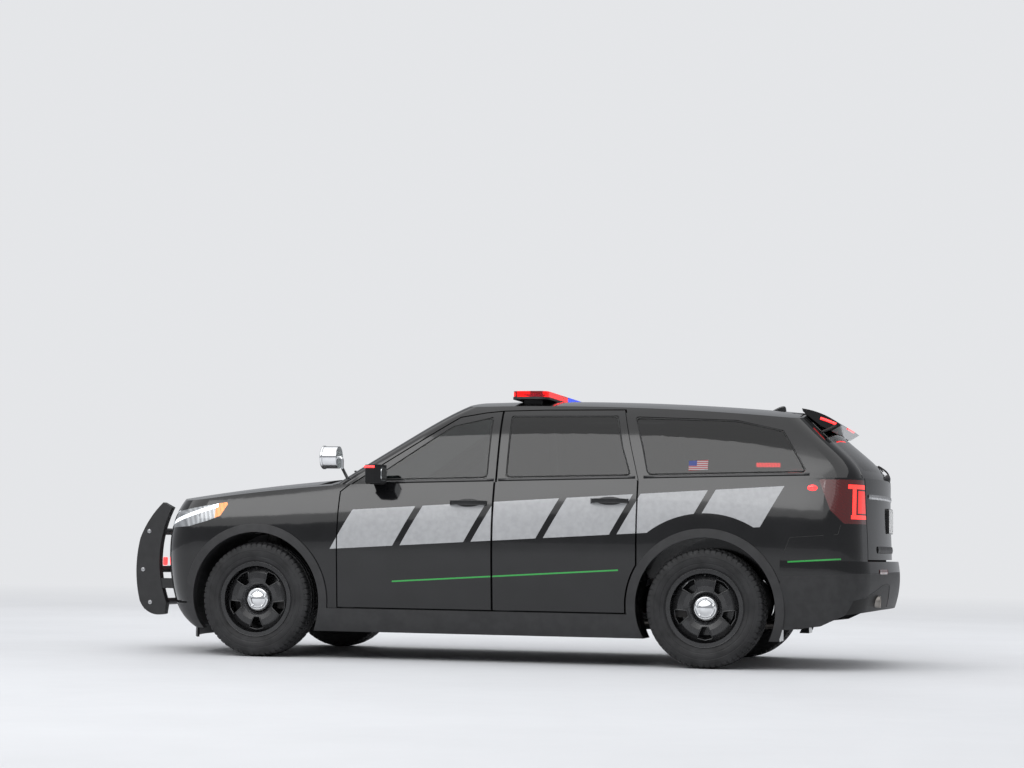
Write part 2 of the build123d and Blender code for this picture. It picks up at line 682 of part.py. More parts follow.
def tyre():
    """Tyre with bulged sidewalls and a square shoulder."""
    half = TYRE_WIDTH / 2
    bead = RIM_WIDTH / 2 - 7
    side = [(bead, BEAD_RADIUS), (bead, FLANGE_RADIUS + 1), (half - 7, 274), (half, 305), (half - 3, 338),
            (half - 16, 366), (half - 30, TYRE_RADIUS - 4), (half - 62, TYRE_RADIUS)]
    return turned(side + [(-y, radius) for y, radius in reversed(side)])


def rim():
    """Steel wheel: barrel, domed disc with five windows, hub cap and brake rotor."""
    edge = RIM_WIDTH / 2
    barrel = turned([
        (-edge, FLANGE_RADIUS), (-edge, BEAD_RADIUS - BARREL_WALL), (edge, BEAD_RADIUS - BARREL_WALL),
        (edge, FLANGE_RADIUS), (edge - 6, FLANGE_RADIUS), (edge - 7, BEAD_RADIUS),
        (7 - edge, BEAD_RADIUS), (6 - edge, FLANGE_RADIUS)])
    face = [(HUB_FACE, DISC_BORE), (HUB_FACE, 82), (72, 108), (80, 140), (78, 178), (62, 206),
            (50, BEAD_RADIUS - BARREL_WALL)]
    disc = turned([(y + DISC_WALL, radius) for y, radius in face] + [(y, radius) for y, radius in reversed(face)])
    window = rounded([(116, -19), (190, -52), (203, 0), (190, 52), (116, 19)], 14)
    for number in range(WINDOWS):
        cutter = plan_prism(window, 20, 110)
        cutter = cutter.rotate(Axis.X, -90).rotate(Axis.Y, 90 + number * 360 / WINDOWS)
        disc -= cutter
    cap = turned([(HUB_FACE + DISC_WALL, 0), (HUB_FACE + DISC_WALL, CAP_RADIUS), (66, CAP_RADIUS - 2),
                  (76, CAP_RADIUS - 12), (80, CAP_RADIUS - 34), (81, 0)])
    rotor = turned([(HUB_FACE, DISC_BORE), (HUB_FACE, 82), (ROTOR_Y + 24, 88), (ROTOR_Y + 24, ROTOR_RADIUS),
                    (ROTOR_Y, ROTOR_RADIUS), (ROTOR_Y, 80), (HUB_FACE - 9, 76), (HUB_FACE - 9, DISC_BORE)])
    return barrel + disc + cap + rotor


def placed(wheel_piece, axle_x, side):
    """A wheel piece at one corner; the right-hand one is mirrored."""
    piece = Pos(axle_x, WHEEL_Y, TYRE_RADIUS) * wheel_piece
    return piece if side > 0 else mirrored(piece)


# Front steering: the strut lies on the steering axis
BALL_Y = 765
BALL_Z = 238
STRUT_TOP_Y = 590
STRUT_TOP_Z = 905
STRUT_LENGTH = sqrt((BALL_Y - STRUT_TOP_Y) ** 2 + (STRUT_TOP_Z - BALL_Z) ** 2)
STEER_AXIS = Plane(origin=(AXLE_FRONT, BALL_Y, BALL_Z), x_dir=(1, 0, 0),
                   z_dir=(0, STRUT_TOP_Y - BALL_Y, STRUT_TOP_Z - BALL_Z))
SPIGOT = DISC_BORE - FIT
HUB_BACK_Y = WHEEL_Y + HUB_FACE - 9


def on_strut(radius, low, high):
    """Cylinder along the steering axis, measured up from the ball joint."""
    return extrude(STEER_AXIS.offset(low) * Circle(radius), high - low, dir=STEER_AXIS.z_dir)


def hub(near):
    """Hub with its flange and the spigot that centres the wheel."""
    flange = cross_cylinder(0, 0, 66, HUB_BACK_Y - 14, HUB_BACK_Y - FIT)
    spigot = cross_cylinder(0, 0, SPIGOT, HUB_BACK_Y - 14, WHEEL_Y + HUB_FACE + DISC_WALL - 2)
    barrel = cross_cylinder(0, 0, 48, near, HUB_BACK_Y - 14)
    return flange + spigot + barrel


def caliper(x_sign):
    """Brake caliper that straddles the rotor behind or ahead of the hub."""
    rotor_near = WHEEL_Y + ROTOR_Y
    body = block(-62, 62, rotor_near - 34, rotor_near + 24 + 30, 118, 198)
    body -= block(-70, 70, rotor_near - 3, rotor_near + 27, 100, 180)
    body += block(-40, 40, rotor_near - 34, rotor_near - 12, 40, 130)
    return body.rotate(Axis.Y, 90 * x_sign)


def knuckle():
    """Left steering knuckle with hub, caliper, damper and spring."""
    upright = Pos(AXLE_FRONT, 0, TYRE_RADIUS) * (hub(728) + caliper(-1))
    carrier = block(AXLE_FRONT - 34, AXLE_FRONT + 34, 716, 770, BALL_Z + 22, TYRE_RADIUS + 70)
    upright += carrier
    upright += on_strut(14, 0, 60)
    upright += on_strut(27, 40, STRUT_LENGTH - 60)
    upright += on_strut(58, 400, 412)
    upright += on_strut(52, 412, STRUT_LENGTH - 14)
    upright += on_strut(64, STRUT_LENGTH - 14, STRUT_LENGTH)
    return upright


# Structure under the hood
RAIL_Y = 440
RAIL_HALF = 45
RAIL_Z = (450, 570)
RAIL_END = 2200
BEAM_FRONT = 2240
SUPPORT_X = (2130, 2165)
SHELF_Z = 965


def front_structure():
    """Rails, strut towers, inner panels, radiator and its support, joined by what carries them."""
    half = block(FIREWALL_FRONT, RAIL_END, RAIL_Y - RAIL_HALF, RAIL_Y + RAIL_HALF, *RAIL_Z)
    half += block(FIREWALL_FRONT, SUPPORT_X[0], 485, 500, RAIL_Z[0], SHELF_Z)
    half += block(FIREWALL_FRONT, SUPPORT_X[0], 500, 700, SHELF_Z - 25, SHELF_Z)
    tower = block(AXLE_FRONT - 120, AXLE_FRONT + 120, 500, 700, 780, SHELF_Z)
    tower -= well(AXLE_FRONT, ARCH_RADIUS, 499)
    half = half + tower - on_strut(84, 300, STRUT_LENGTH + FIT)
    frame = block(*SUPPORT_X, -600, 600, 915, SHELF_Z) + block(*SUPPORT_X, -520, 520, 300, 350)
    frame += block(*SUPPORT_X, 470, 520, 300, 940) + block(*SUPPORT_X, -520, -470, 300, 940)
    radiator = block(2105, 2150, -385, 385, 345, 920)
    return half + mirrored(half) + frame + radiator


def bumper_beam():
    """Crash beam across the ends of the front rails."""
    return block(RAIL_END, BEAM_FRONT, -560, 560, 455, 565)


def wheel_liners():
    """Left front wheel-house liner, a thin arch over the wheel."""
    arch = well(AXLE_FRONT, ARCH_RADIUS + 9, 512) - well(AXLE_FRONT, ARCH_RADIUS + 5, 400)
    arch &= block(1000, 2100, 512, WIDE, TYRE_RADIUS - 60, 900)
    arch &= INNER
    arch -= block(AXLE_FRONT - 120, AXLE_FRONT + 120, 500, 725, 700, 1000)
    return arch - block(900, FIREWALL_FRONT, 400, WIDE, 0, 1200)


def front_subframe():
    """Cradle with both lower arms and the steering rack."""
    cradle = block(1330, 1390, -470, 470, 225, 285) + block(1700, 1760, -470, 470, 225, 285)
    for y in (430, -470):
        cradle += block(1330, 1760, y, y + 40, 225, 285)
        cradle += block(1340, 1380, y, y + 40, 285, RAIL_Z[0])
        cradle += block(1710, 1750, y, y + 40, 285, RAIL_Z[0])
    cradle += cross_cylinder(1345, 330, 28, -400, 400)
    cradle += block(1325, 1365, -60, 60, 280, 320)
    arm = rounded([(1345, 470), (1395, 470), (AXLE_FRONT - 12, 700), (1700, 470), (1750, 470),
                   (AXLE_FRONT + 34, BALL_Y), (AXLE_FRONT, BALL_Y + 26), (AXLE_FRONT - 34, BALL_Y)])
    arms = plan_prism(arm, BALL_Z - 26, BALL_Z - 4) - on_strut(14 + FIT, -60, 60)
    return cradle + arms + mirrored(arms)


def rear_suspension():
    """Rear cradle, arms, hubs, springs and final drive."""
    cradle = block(-1700, -1640, -470, 470, 300, 370) + block(-1390, -1330, -470, 470, 300, 370)
    for y in (410, -470):
        cradle += block(-1700, -1330, y, y + 60, 300, 370)
    for y in (420, -460):
        cradle += block(-1690, -1650, y, y + 40, 370, CARGO_UNDER)
        cradle += block(-1380, -1340, y, y + 40, 370, CARGO_UNDER)
    cradle += Pos(AXLE_REAR, 0, 365) * Sphere(125) & block(-1900, -1200, -140, 140, 240, 520)
    half = Pos(AXLE_REAR, 0, TYRE_RADIUS) * (hub(560) + caliper(1))
    half += block(AXLE_REAR - 60, AXLE_REAR + 60, 640, 700, 270, 470)
    half += block(AXLE_REAR - 90, AXLE_REAR - 40, 440, 690, 300, 330)
    half += block(AXLE_REAR + 60, AXLE_REAR + 110, 440, 690, 300, 330) + block(
        AXLE_REAR + 40, AXLE_REAR + 110, 640, 690, 300, 330)
    half += cross_cylinder(AXLE_REAR, TYRE_RADIUS, 24, 60, 600)
    half += upright_cylinder(AXLE_REAR - 65, 560, 48, 330, CARGO_UNDER)
    return cradle + half + mirrored(half)


# X, Y, lower and upper end of each hanger
EXHAUST_HANGERS = [
    (150, -160, 280, FLOOR_UNDER),
    (800, -120, 260, FLOOR_UNDER),
    (-700, -250, 260, FLOOR_UNDER),
    (-2230, 0, 460, CARGO_UNDER),
]


def exhaust():
    """Exhaust: front pipe, centre box, rear box across the tail and two outlets."""
    pipe = bar([(1000, -120, 245), (300, -120, 245), (-300, -250, 245), (-1960, -250, 245)], 28, 120)
    pipe += bar([(-1900, -250, 245), (-2000, -250, 245), (-2200, -250, 400)], 28, 60)
    pipe += block(-150, 250, -260, -60, 205, 283)
    pipe += block(-2330, -2130, -420, 420, 330, 470)
    for y in (350, -350):
        pipe += bar([(-2230, y, 400), (-2330, y, 212), (-2500, y, 212)], 26, 60)
    for x, y, low, high in EXHAUST_HANGERS:
        pipe += block(x - 15, x + 15, y - 15, y + 15, low, high)
    return pipe


def engine_block():
    """Engine and gearbox as one plain mass between the rails."""
    engine = block(1200, 1900, -270, 270, 370, 880)
    engine += block(FIREWALL_FRONT + 5, 1200, -180, 180, 370, 560)
    for near, far in ((270, RAIL_Y - RAIL_HALF), (RAIL_HALF - RAIL_Y, -270)):
        engine += block(1400, 1500, near, far, 480, 540)
    return engine


# Push bumper
PUSH_Y = 330
PUSH_WIDTH = 60
PUSH_TIP_X = 2652.5


def push_bumper():
    """Two curved uprights joined by tubes and bolted back to the crash beam."""
    outline = make_face([
        ThreePointArc((2459, 1034), (2563, 909), (2628, 780)),
        ThreePointArc((2628, 780), (PUSH_TIP_X, 560), (2622, 343)),
        ThreePointArc((2622, 343), (2551, 262), (2430, 250)),
        Line((2430, 250), (2418, 330)),
        ThreePointArc((2418, 330), (2478, 620), (2392, 1000)),
        Line((2392, 1000), (2459, 1034)),
    ])
    upright = side_prism(outline, PUSH_Y - PUSH_WIDTH / 2, PUSH_Y + PUSH_WIDTH / 2)
    uprights = upright + mirrored(upright)
    for x, z, radius in ((2560, 830, 24), (2600, 560, 24), (2540, 330, 24)):
        uprights += cross_cylinder(x, z, radius, -PUSH_Y, PUSH_Y)
    for y in (PUSH_Y, -PUSH_Y):
        uprights += block(BEAM_FRONT, 2500, y - 25, y + 25, 430, 500)
    return uprights


# Roof light bar
BAR_X = -268
BAR_HALF = 620
BAR_DEPTH = 125


def light_bar_zone(low, high, near, far, inset):
    """Rounded bar section across the roof between two heights and two values of Y."""
    outline = Pos(BAR_X, 0) * RectangleRounded(2 * (BAR_DEPTH - inset), 2 * (BAR_HALF - inset), 60 - inset)
    return plan_prism(outline, low, high) & block(BAR_X - 200, BAR_X + 200, near, far, low, high)


BAR_LOW = 1738
BAR_TRAY = 1753
BAR_TOP = 1792


def light_bar_base():
    """Tray of the light bar on two feet that rest on the roof."""
    tray = light_bar_zone(BAR_LOW, BAR_TRAY, -700, 700, 0)
    for y in (480, -520):
        tray += block(BAR_X - 60, BAR_X + 60, y, y + 40, 1650, BAR_LOW)
    return tray - OUTER


def light_bar_lens(near, far):
    """Lens over one side of the light bar."""
    return light_bar_zone(BAR_TRAY, BAR_TOP, near, far, 4)


# Mirrors, spotlight and beacons
def mirror_left():
    """Door mirror: housing on a foot at the window sill."""
    outline = rounded([(600, 985), (596, 1115), (640, 1130), (712, 1110), (730, 1000)], 14)
    housing = Pos(0, 0, 1158) * extrude(outline, 118, dir=(0, 0, 1))
    foot = block(640, 712, 900, 1000, 1152, 1186)
    return housing + foot - DOOR_ENVELOPE


def spotlight():
    """Pillar spotlight: lamp head on a short arm out of the windscreen pillar."""
    head = Plane(origin=(962, 905, 1331), x_dir=(0, 1, 0), z_dir=(1, 0, 0)) * Cylinder(
        74, 104, align=(Align.CENTER, Align.CENTER, Align.MIN))
    arm = bar([(940, 905, 1262), (940, 905, 1331), (975, 905, 1331)], 10, 20)
    arm += bar([(930, 830, 1200), (940, 905, 1262)], 10)
    return head + arm - OUTER


def quarter_beacon():
    """Small lamp on the inside of the quarter glass."""
    lamp = block(-1966, -1820, 780, WIDE, 1282, 1308)
    return lamp & stack(UPPER_LEVELS, GLASS_RECESS + GLASS + FIT, UPPER_MIDDLE)


# Interior
def front_seat():
    """Left front seat with base, cushion, back and head restraint."""
    side = rounded([(520, 470), (520, 590), (440, 625), (70, 590), (-70, 1120), (-88, 1300), (-170, 1310),
                    (-190, 1120), (-70, 520), (0, 470)], 22)
    seat = side_prism(side, 150, 640)
    seat -= block(-220, 0, 140, 280, 1135, 1400) + block(-220, 0, 510, 660, 1135, 1400)
    return seat + block(60, 420, 190, 600, FLOOR_Z, 480)


def rear_seat():
    """Rear bench."""
    side = rounded([(-420, 480), (-420, 610), (-500, 640), (-820, 600), (-960, 1150), (-1060, 1160),
                    (-1010, 700), (-900, 480)], 22)
    return side_prism(side, -640, 640) + block(-860, -480, -600, 600, FLOOR_Z, 490)


DASH_HALF = 770


def dashboard():
    """Dashboard with the centre console and the steering column."""
    side = rounded([(COWL_X, 760), (COWL_X, 1085), (955, 1090), (890, 1120), (720, 1085), (650, 1010),
                    (668, 880), (780, 760)])
    dash = side_prism(side, -DASH_HALF, DASH_HALF)
    dash += block(120, 800, -115, 115, FLOOR_Z, 640) + block(700, 800, -115, 115, 600, 900)
    return dash + column()


HUB_DEPTH = 42
WHEEL_CENTRE = (560, 395, 930)
COLUMN = Plane(origin=WHEEL_CENTRE, x_dir=(0, 1, 0), z_dir=(-cos(radians(24)), 0, sin(radians(24))))


def column():
    """Steering column from the dashboard to just short of the wheel's hub."""
    return extrude(COLUMN.offset(-HUB_DEPTH - FIT) * Circle(34), 150, dir=-COLUMN.z_dir)


def steering_wheel():
    """Steering wheel: rim, three spokes and hub."""
    ring = Torus(182, 15)
    spokes = Box(364, 34, 14) + Pos(0, -90, 0) * Box(40, 180, 14)
    boss = Pos(0, 0, -HUB_DEPTH) * Cylinder(58, HUB_DEPTH + 2, align=(Align.CENTER, Align.CENTER, Align.MIN))
    return COLUMN * (ring + spokes + boss)


parts = {}
parts["body_shell"] = body_shell()
parts["fenders"] = both(fender())
parts["front_fascia"] = fascia()
parts["hood"] = hood()
parts["grille"] = grille()
parts["headlamps"] = both(SKIN_FORM & headlamp_zone())
parts["tail_lamps"] = both(SKIN_FORM & tail_lamp_zone())
parts["windscreen"] = GLASS_FORM & screen_zone()
parts["quarter_glass"] = both(side_pane(QUARTER_WINDOW))
parts["rear_bumper"] = rear_bumper()
parts["liftgate"] = tailgate()
parts["liftgate_glass"] = GLASS_FORM & front_prism(GATE_WINDOW, -REACH, -1900)
for row, outline, window, gap in (("f", FRONT_DOOR, FRONT_WINDOW, LEADING_GAP),
                                  ("r", REAR_DOOR, REAR_WINDOW, LEADING_GAP - PANEL_GAP)):
    leaf = door_leaf(outline, window, gap)
    glass = side_pane(window)
    parts[f"door_{row}l"], parts[f"door_{row}r"] = leaf, mirrored(leaf)
    parts[f"glass_{row}l"], parts[f"glass_{row}r"] = glass, mirrored(glass)
straps = [hinge_strap(outline, gap, z) for outline, gap in (
    (FRONT_DOOR, LEADING_GAP), (REAR_DOOR, LEADING_GAP - PANEL_GAP)) for z in DOOR_HINGE_HEIGHTS]
parts["door_hinges"] = Compound(children=[*straps, *(mirrored(strap) for strap in straps)])
DOOR_ENVELOPE = parts["door_fl"]
parts["mirror_l"] = mirror_left()
parts["mirror_r"] = mirrored(parts["mirror_l"])
parts["cladding"] = both(cladding())
parts["knuckle_l"] = knuckle()
parts["knuckle_r"] = mirrored(parts["knuckle_l"])
rim_piece, tyre_piece = rim(), tyre()
for corner, axle_x, side in (("fl", AXLE_FRONT, 1), ("fr", AXLE_FRONT, -1), ("rl", AXLE_REAR, 1), ("rr", AXLE_REAR, -1)):
    parts[f"rim_{corner}"] = placed(rim_piece, axle_x, side)
    parts[f"tyre_{corner}"] = placed(tyre_piece, axle_x, side)
parts["front_structure"] = front_structure()
parts["crash_beam"] = bumper_beam()
parts["wheel_liners"] = both(wheel_liners())
parts["front_subframe"] = front_subframe()
parts["rear_suspension"] = rear_suspension()
parts["exhaust"] = exhaust()
parts["engine_block"] = engine_block()
parts["push_bumper"] = push_bumper()
parts["light_bar_base"] = light_bar_base()
parts["light_bar_red"] = light_bar_lens(1, 700)
parts["light_bar_blue"] = light_bar_lens(-700, -1)
parts["spotlight"] = spotlight()
parts["quarter_beacons"] = both(quarter_beacon())
parts["front_seats"] = both(front_seat())
parts["rear_seat"] = rear_seat()
parts["dashboard"] = dashboard()
parts["steering_wheel"] = steering_wheel()

os.makedirs("parts", exist_ok=True)
for name, shape in parts.items():
    export_step(shape, f"parts/{name}.step")
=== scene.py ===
from math import atan2, cos, hypot, pi, radians, sin
import bmesh
import bpy
from mathutils import Matrix, Vector
from mathutils.bvhtree import BVHTree


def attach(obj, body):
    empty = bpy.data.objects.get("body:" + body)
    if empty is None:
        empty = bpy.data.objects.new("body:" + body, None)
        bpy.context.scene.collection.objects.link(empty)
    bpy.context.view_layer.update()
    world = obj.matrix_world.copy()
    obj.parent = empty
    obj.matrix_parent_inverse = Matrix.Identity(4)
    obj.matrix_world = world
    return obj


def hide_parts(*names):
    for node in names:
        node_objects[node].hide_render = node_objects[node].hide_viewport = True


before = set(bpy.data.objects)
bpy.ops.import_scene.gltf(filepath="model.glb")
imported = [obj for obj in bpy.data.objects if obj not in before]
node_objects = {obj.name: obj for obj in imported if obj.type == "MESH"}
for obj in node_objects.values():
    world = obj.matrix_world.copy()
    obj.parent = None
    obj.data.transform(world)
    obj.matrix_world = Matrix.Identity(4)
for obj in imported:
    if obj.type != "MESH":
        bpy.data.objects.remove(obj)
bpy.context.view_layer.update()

AXLE_X = 1.5125
WHEEL_Y = 0.85
WHEEL_Z = 0.3815
CORNERS = {"fl": (AXLE_X, 1), "fr": (AXLE_X, -1), "rl": (-AXLE_X, 1), "rr": (-AXLE_X, -1)}
WHEEL_BODIES = {"fl": "wheel_front_left", "fr": "wheel_front_right",
                "rl": "wheel_rear_left", "rr": "wheel_rear_right"}
SHIELD_BODIES = {"fl": "knuckle_left", "fr": "knuckle_right", "rl": "vehicle", "rr": "vehicle"}
SIDES = ((1, "left"), (-1, "right"))
FRONT_DOORS = {1: "door_front_left", -1: "door_front_right"}
REAR_DOORS = {1: "door_rear_left", -1: "door_rear_right"}
BOTH_ON_VEHICLE = {1: "vehicle", -1: "vehicle"}
FORWARD = Vector((1, 0, 0))
LEFTWARD = Vector((0, 1, 0))
UP = Vector((0, 0, 1))


def tone(colour, share=1.0):
    """Colour made darker or lighter, with its alpha."""
    return tuple(min(1, share * part) for part in colour) + (1,)


# Materials
class Tree:
    """A node tree with short calls for the nodes used here."""

    def __init__(self, tree):
        self.tree = tree

    def put(self, socket, value):
        if isinstance(value, bpy.types.NodeSocket):
            self.tree.links.new(value, socket)
        else:
            socket.default_value = value

    def node(self, kind, values, output=0, **settings):
        """Output of a new node that has its settings made and its inputs filled."""
        made = self.tree.nodes.new(f"ShaderNode{kind}")
        for key, value in settings.items():
            setattr(made, key, value)
        for key, value in values.items():
            self.put(made.inputs[key], value)
        return made.outputs[output]

    def math(self, kind, *values):
        return self.node("Math", dict(enumerate(values)), operation=kind)

    def seen(self):
        """One for what the camera sees, through glass too, and nothing for light that bounces."""
        rays = self.node("LightPath", {}).node.outputs
        return self.math("MAXIMUM", rays["Is Camera Ray"], rays["Is Transmission Ray"])


class Graph(Tree):
    """A new material's tree, with its shader and the place and facing of each point."""

    def __init__(self, name):
        self.material = bpy.data.materials.new(name)
        self.material.use_nodes = True
        super().__init__(self.material.node_tree)
        self.shader = self.tree.nodes["Principled BSDF"]
        place_node = self.tree.nodes.new("ShaderNodeTexCoord")
        self.place = place_node.outputs["Object"]
        self.facing = place_node.outputs["Normal"]

    def set(self, **values):
        for key, value in values.items():
            self.put(self.shader.inputs[key.replace("_", " ")], value)

    def plus(self, first, second):
        return self.math("ADD", first, second)

    def minus(self, first, second):
        return self.math("SUBTRACT", first, second)

    def times(self, first, second):
        return self.math("MULTIPLY", first, second)

    def above(self, value, level):
        return self.math("GREATER_THAN", value, level)

    def below(self, value, level):
        return self.math("LESS_THAN", value, level)

    def between(self, value, low, high):
        return self.times(self.above(value, low), self.below(value, high))

    def wave(self, value, pace):
        return self.math("SINE", self.times(value, pace))

    def radius(self, first, second):
        return self.math("SQRT", self.plus(self.math("POWER", first, 2.0), self.math("POWER", second, 2.0)))

    def all_of(self, *masks):
        result = masks[0]
        for mask in masks[1:]:
            result = self.times(result, mask)
        return result

    def any_of(self, *masks):
        result = masks[0]
        for mask in masks[1:]:
            result = self.math("MAXIMUM", result, mask)
        return result

    def split(self):
        return self.node("SeparateXYZ", {0: self.place}).node.outputs

    def outward(self):
        """How far a face looks away from the middle of the cabin; negative on the inner faces."""
        from_middle = self.node("VectorMath", {0: self.place, 1: CABIN_MIDDLE}, operation="SUBTRACT")
        return self.node("VectorMath", {0: self.facing, 1: from_middle}, "Value", operation="DOT_PRODUCT")

    def noise(self, scale, detail=3.0):
        return self.node("TexNoise", {"Vector": self.place, "Scale": scale, "Detail": detail})

    def ramp(self, value, low, high, out_low=0.0, out_high=1.0):
        return self.node("MapRange", dict(enumerate((value, low, high, out_low, out_high))))

    def mix(self, factor, first, second):
        return self.node("Mix", {0: factor, 6: first, 7: second}, 2, data_type="RGBA")

    def vary(self, colour, amount, scale):
        shade = self.ramp(self.noise(scale, 3), 0.35, 0.65)
        return self.mix(shade, tone(colour, 1 - amount), tone(colour, 1 + amount))

    def rough(self, value, spread, scale):
        noise = self.noise(scale, 4)
        self.set(Roughness=self.ramp(noise, 0.3, 0.7, max(0.02, value - spread), value + spread))

    def bump(self, height, strength, distance):
        self.set(Normal=self.node("Bump", {"Strength": strength, "Distance": distance, "Height": height}))

    def colour(self, value):
        self.set(Base_Color=value)


def plain(name, colour, rough, spread=0.05, amount=0.18, scale=14, grain=0, grain_strength=0.2, **values):
    """Material with uneven colour and roughness, and a fine grain if asked."""
    graph = Graph(name)
    graph.colour(graph.vary(colour, amount, scale))
    graph.rough(rough, spread, scale * 2.3)
    if grain:
        graph.bump(graph.noise(grain, 2), grain_strength, 0.001)
    graph.set(**values)
    return graph.material


# Band of slanted blocks and thin line along both sides
BAND_FRONT = 0.987
BAND_LOW = 0.723
BAND_RISE = 0.0612
BAND_HEIGHT = 0.252
BAND_LEAN = 0.148
BAND_LENGTH = 2.9
BAND_BLOCKS = 6
BAND_GAP = 0.05
BAND_TO_HUB = 0.6
LINE_FRONT = 0.557
LINE_LOW = 0.516
LINE_RISE = 0.0641
LINE_HALF_WIDTH = 0.005
SIDE_FROM_Y = 0.78
BLACK = (0.0045, 0.0045, 0.005)
BAND_GREY = (0.36, 0.365, 0.375)
GREEN = (0.03, 0.32, 0.06, 1)
LINING = (0.02, 0.02, 0.021)
CABIN_MIDDLE = (-0.3, 0, 0.9)


def on_side(graph, y):
    return graph.above(graph.math("ABSOLUTE", y), SIDE_FROM_Y)


def green_line(graph, x, y, z):
    """Mask of the thin line low on both sides, broken at the rear wheel."""
    line = graph.math("MULTIPLY_ADD", graph.minus(LINE_FRONT, x), LINE_RISE, LINE_LOW)
    near_line = graph.below(graph.math("ABSOLUTE", graph.minus(z, line)), LINE_HALF_WIDTH)
    reach = graph.any_of(graph.between(x, -0.957, LINE_FRONT), graph.between(x, -2.368, -2.039))
    return graph.all_of(on_side(graph, y), near_line, reach)


def body_paint():
    """Gloss black with the grey band and the green line on both sides, and a dull lining inside."""
    graph = Graph("gloss_black_paint")
    x, y, z = graph.split()
    inner = graph.below(graph.outward(), 0.0)
    back = graph.minus(BAND_FRONT, x)
    low = graph.math("MULTIPLY_ADD", back, BAND_RISE, BAND_LOW)
    height = graph.math("DIVIDE", graph.minus(z, low), BAND_HEIGHT)
    run = graph.math("MULTIPLY_ADD", height, -BAND_LEAN, back)
    pitch = BAND_LENGTH / BAND_BLOCKS
    step = graph.math("MODULO", run, pitch)
    hub = graph.radius(graph.plus(x, AXLE_X), graph.minus(z, WHEEL_Z))
    band = graph.all_of(on_side(graph, y), graph.between(height, 0.0, 1.0),
                        graph.between(run, 0.0, BAND_LENGTH - BAND_GAP),
                        graph.below(step, pitch - BAND_GAP), graph.above(hub, BAND_TO_HUB))
    with_band = graph.mix(band, graph.vary(BLACK, 0.3, 5), graph.vary(BAND_GREY, 0.06, 30))
    painted = graph.mix(green_line(graph, x, y, z), with_band, GREEN)
    graph.colour(graph.mix(inner, painted, graph.vary(LINING, 0.2, 12)))
    dust = graph.ramp(z, 0.15, 0.45, 0.06, 0.0)
    duller = graph.plus(dust, graph.times(band, 0.22))
    outer_rough = graph.plus(graph.ramp(graph.noise(2, 2), 0.3, 0.7, 0.1, 0.13), duller)
    graph.bump(graph.noise(900, 2), 0.02, 0.0003)
    graph.set(Roughness=graph.math("MULTIPLY_ADD", inner, 0.5, outer_rough),
              Coat_Weight=graph.ramp(inner, 0, 1, 0.35, 0.0), Coat_Roughness=0.03, Specular_IOR_Level=0.4)
    return graph.material


def glass(name, colour, rough=0.0, strength=1.0):
    """Tinted clear glass with a faint film."""
    graph = Graph(name)
    graph.colour(graph.vary(colour, 0.08, 2))
    graph.rough(rough + 0.02, 0.015, 3)
    graph.set(Transmission_Weight=strength, IOR=1.45, Specular_IOR_Level=0.5)
    return graph.material


def lamp(name, colour, glow, pitch=0.02):
    """Lit lamp with a fine pattern of prisms."""
    graph = Graph(name)
    x, y = graph.split()[:2]
    ribs = graph.wave(graph.plus(x, y), 2 * pi / pitch)
    shade = graph.mix(graph.ramp(ribs, -1, 1), tone(colour, 0.75), tone(colour))
    graph.colour(shade)
    graph.rough(0.16, 0.04, 40)
    graph.set(Emission_Color=shade, Emission_Strength=glow, Coat_Weight=0.6)
    return graph.material


# Slope and height at X zero of the lens's lower edge
LENS_FALL = 0.32
LENS_FOOT = 1.558


def headlamp_lens():
    """Silver reflector under a clear cover, with a lit bar and an amber rear corner."""
    graph = Graph("headlamp_lens")
    x, y, z = graph.split()
    rise = graph.minus(z, graph.math("MULTIPLY_ADD", x, -LENS_FALL, LENS_FOOT))
    bar = graph.all_of(graph.between(rise, 0.01, 0.035), graph.above(x, 1.8))
    brow = graph.all_of(graph.between(rise, 0.085, 0.1), graph.above(x, 1.84))
    lit = graph.any_of(bar, brow)
    amber = graph.below(x, 1.815)
    flutes = graph.wave(graph.plus(x, y), 210.0)
    silver = graph.mix(graph.ramp(flutes, -1, 1), (0.2, 0.21, 0.22, 1), (0.34, 0.355, 0.37, 1))
    base = graph.mix(amber, silver, (0.75, 0.2, 0.02, 1))
    graph.colour(graph.mix(lit, base, (0.95, 0.97, 1.0, 1)))
    graph.rough(0.18, 0.05, 60)
    graph.bump(flutes, 0.25, 0.002)
    graph.set(Emission_Color=graph.mix(lit, (0, 0, 0, 1), (0.9, 0.95, 1.0, 1)), Emission_Strength=1.6,
              Coat_Weight=1.0, Coat_Roughness=0.02, Metallic=0.35)
    return graph.material


# Back, front, foot and top of the lit parts of a tail lamp
TAIL_UPRIGHT = (-2.452, -2.432, 0.955, 1.172)
TAIL_TOP = (-2.506, -2.405, 1.146, 1.172)
TAIL_FOOT = (-2.506, -2.425, 0.955, 0.979)
TAIL_MIDDLE = (-2.506, -2.462, 0.99, 1.134)


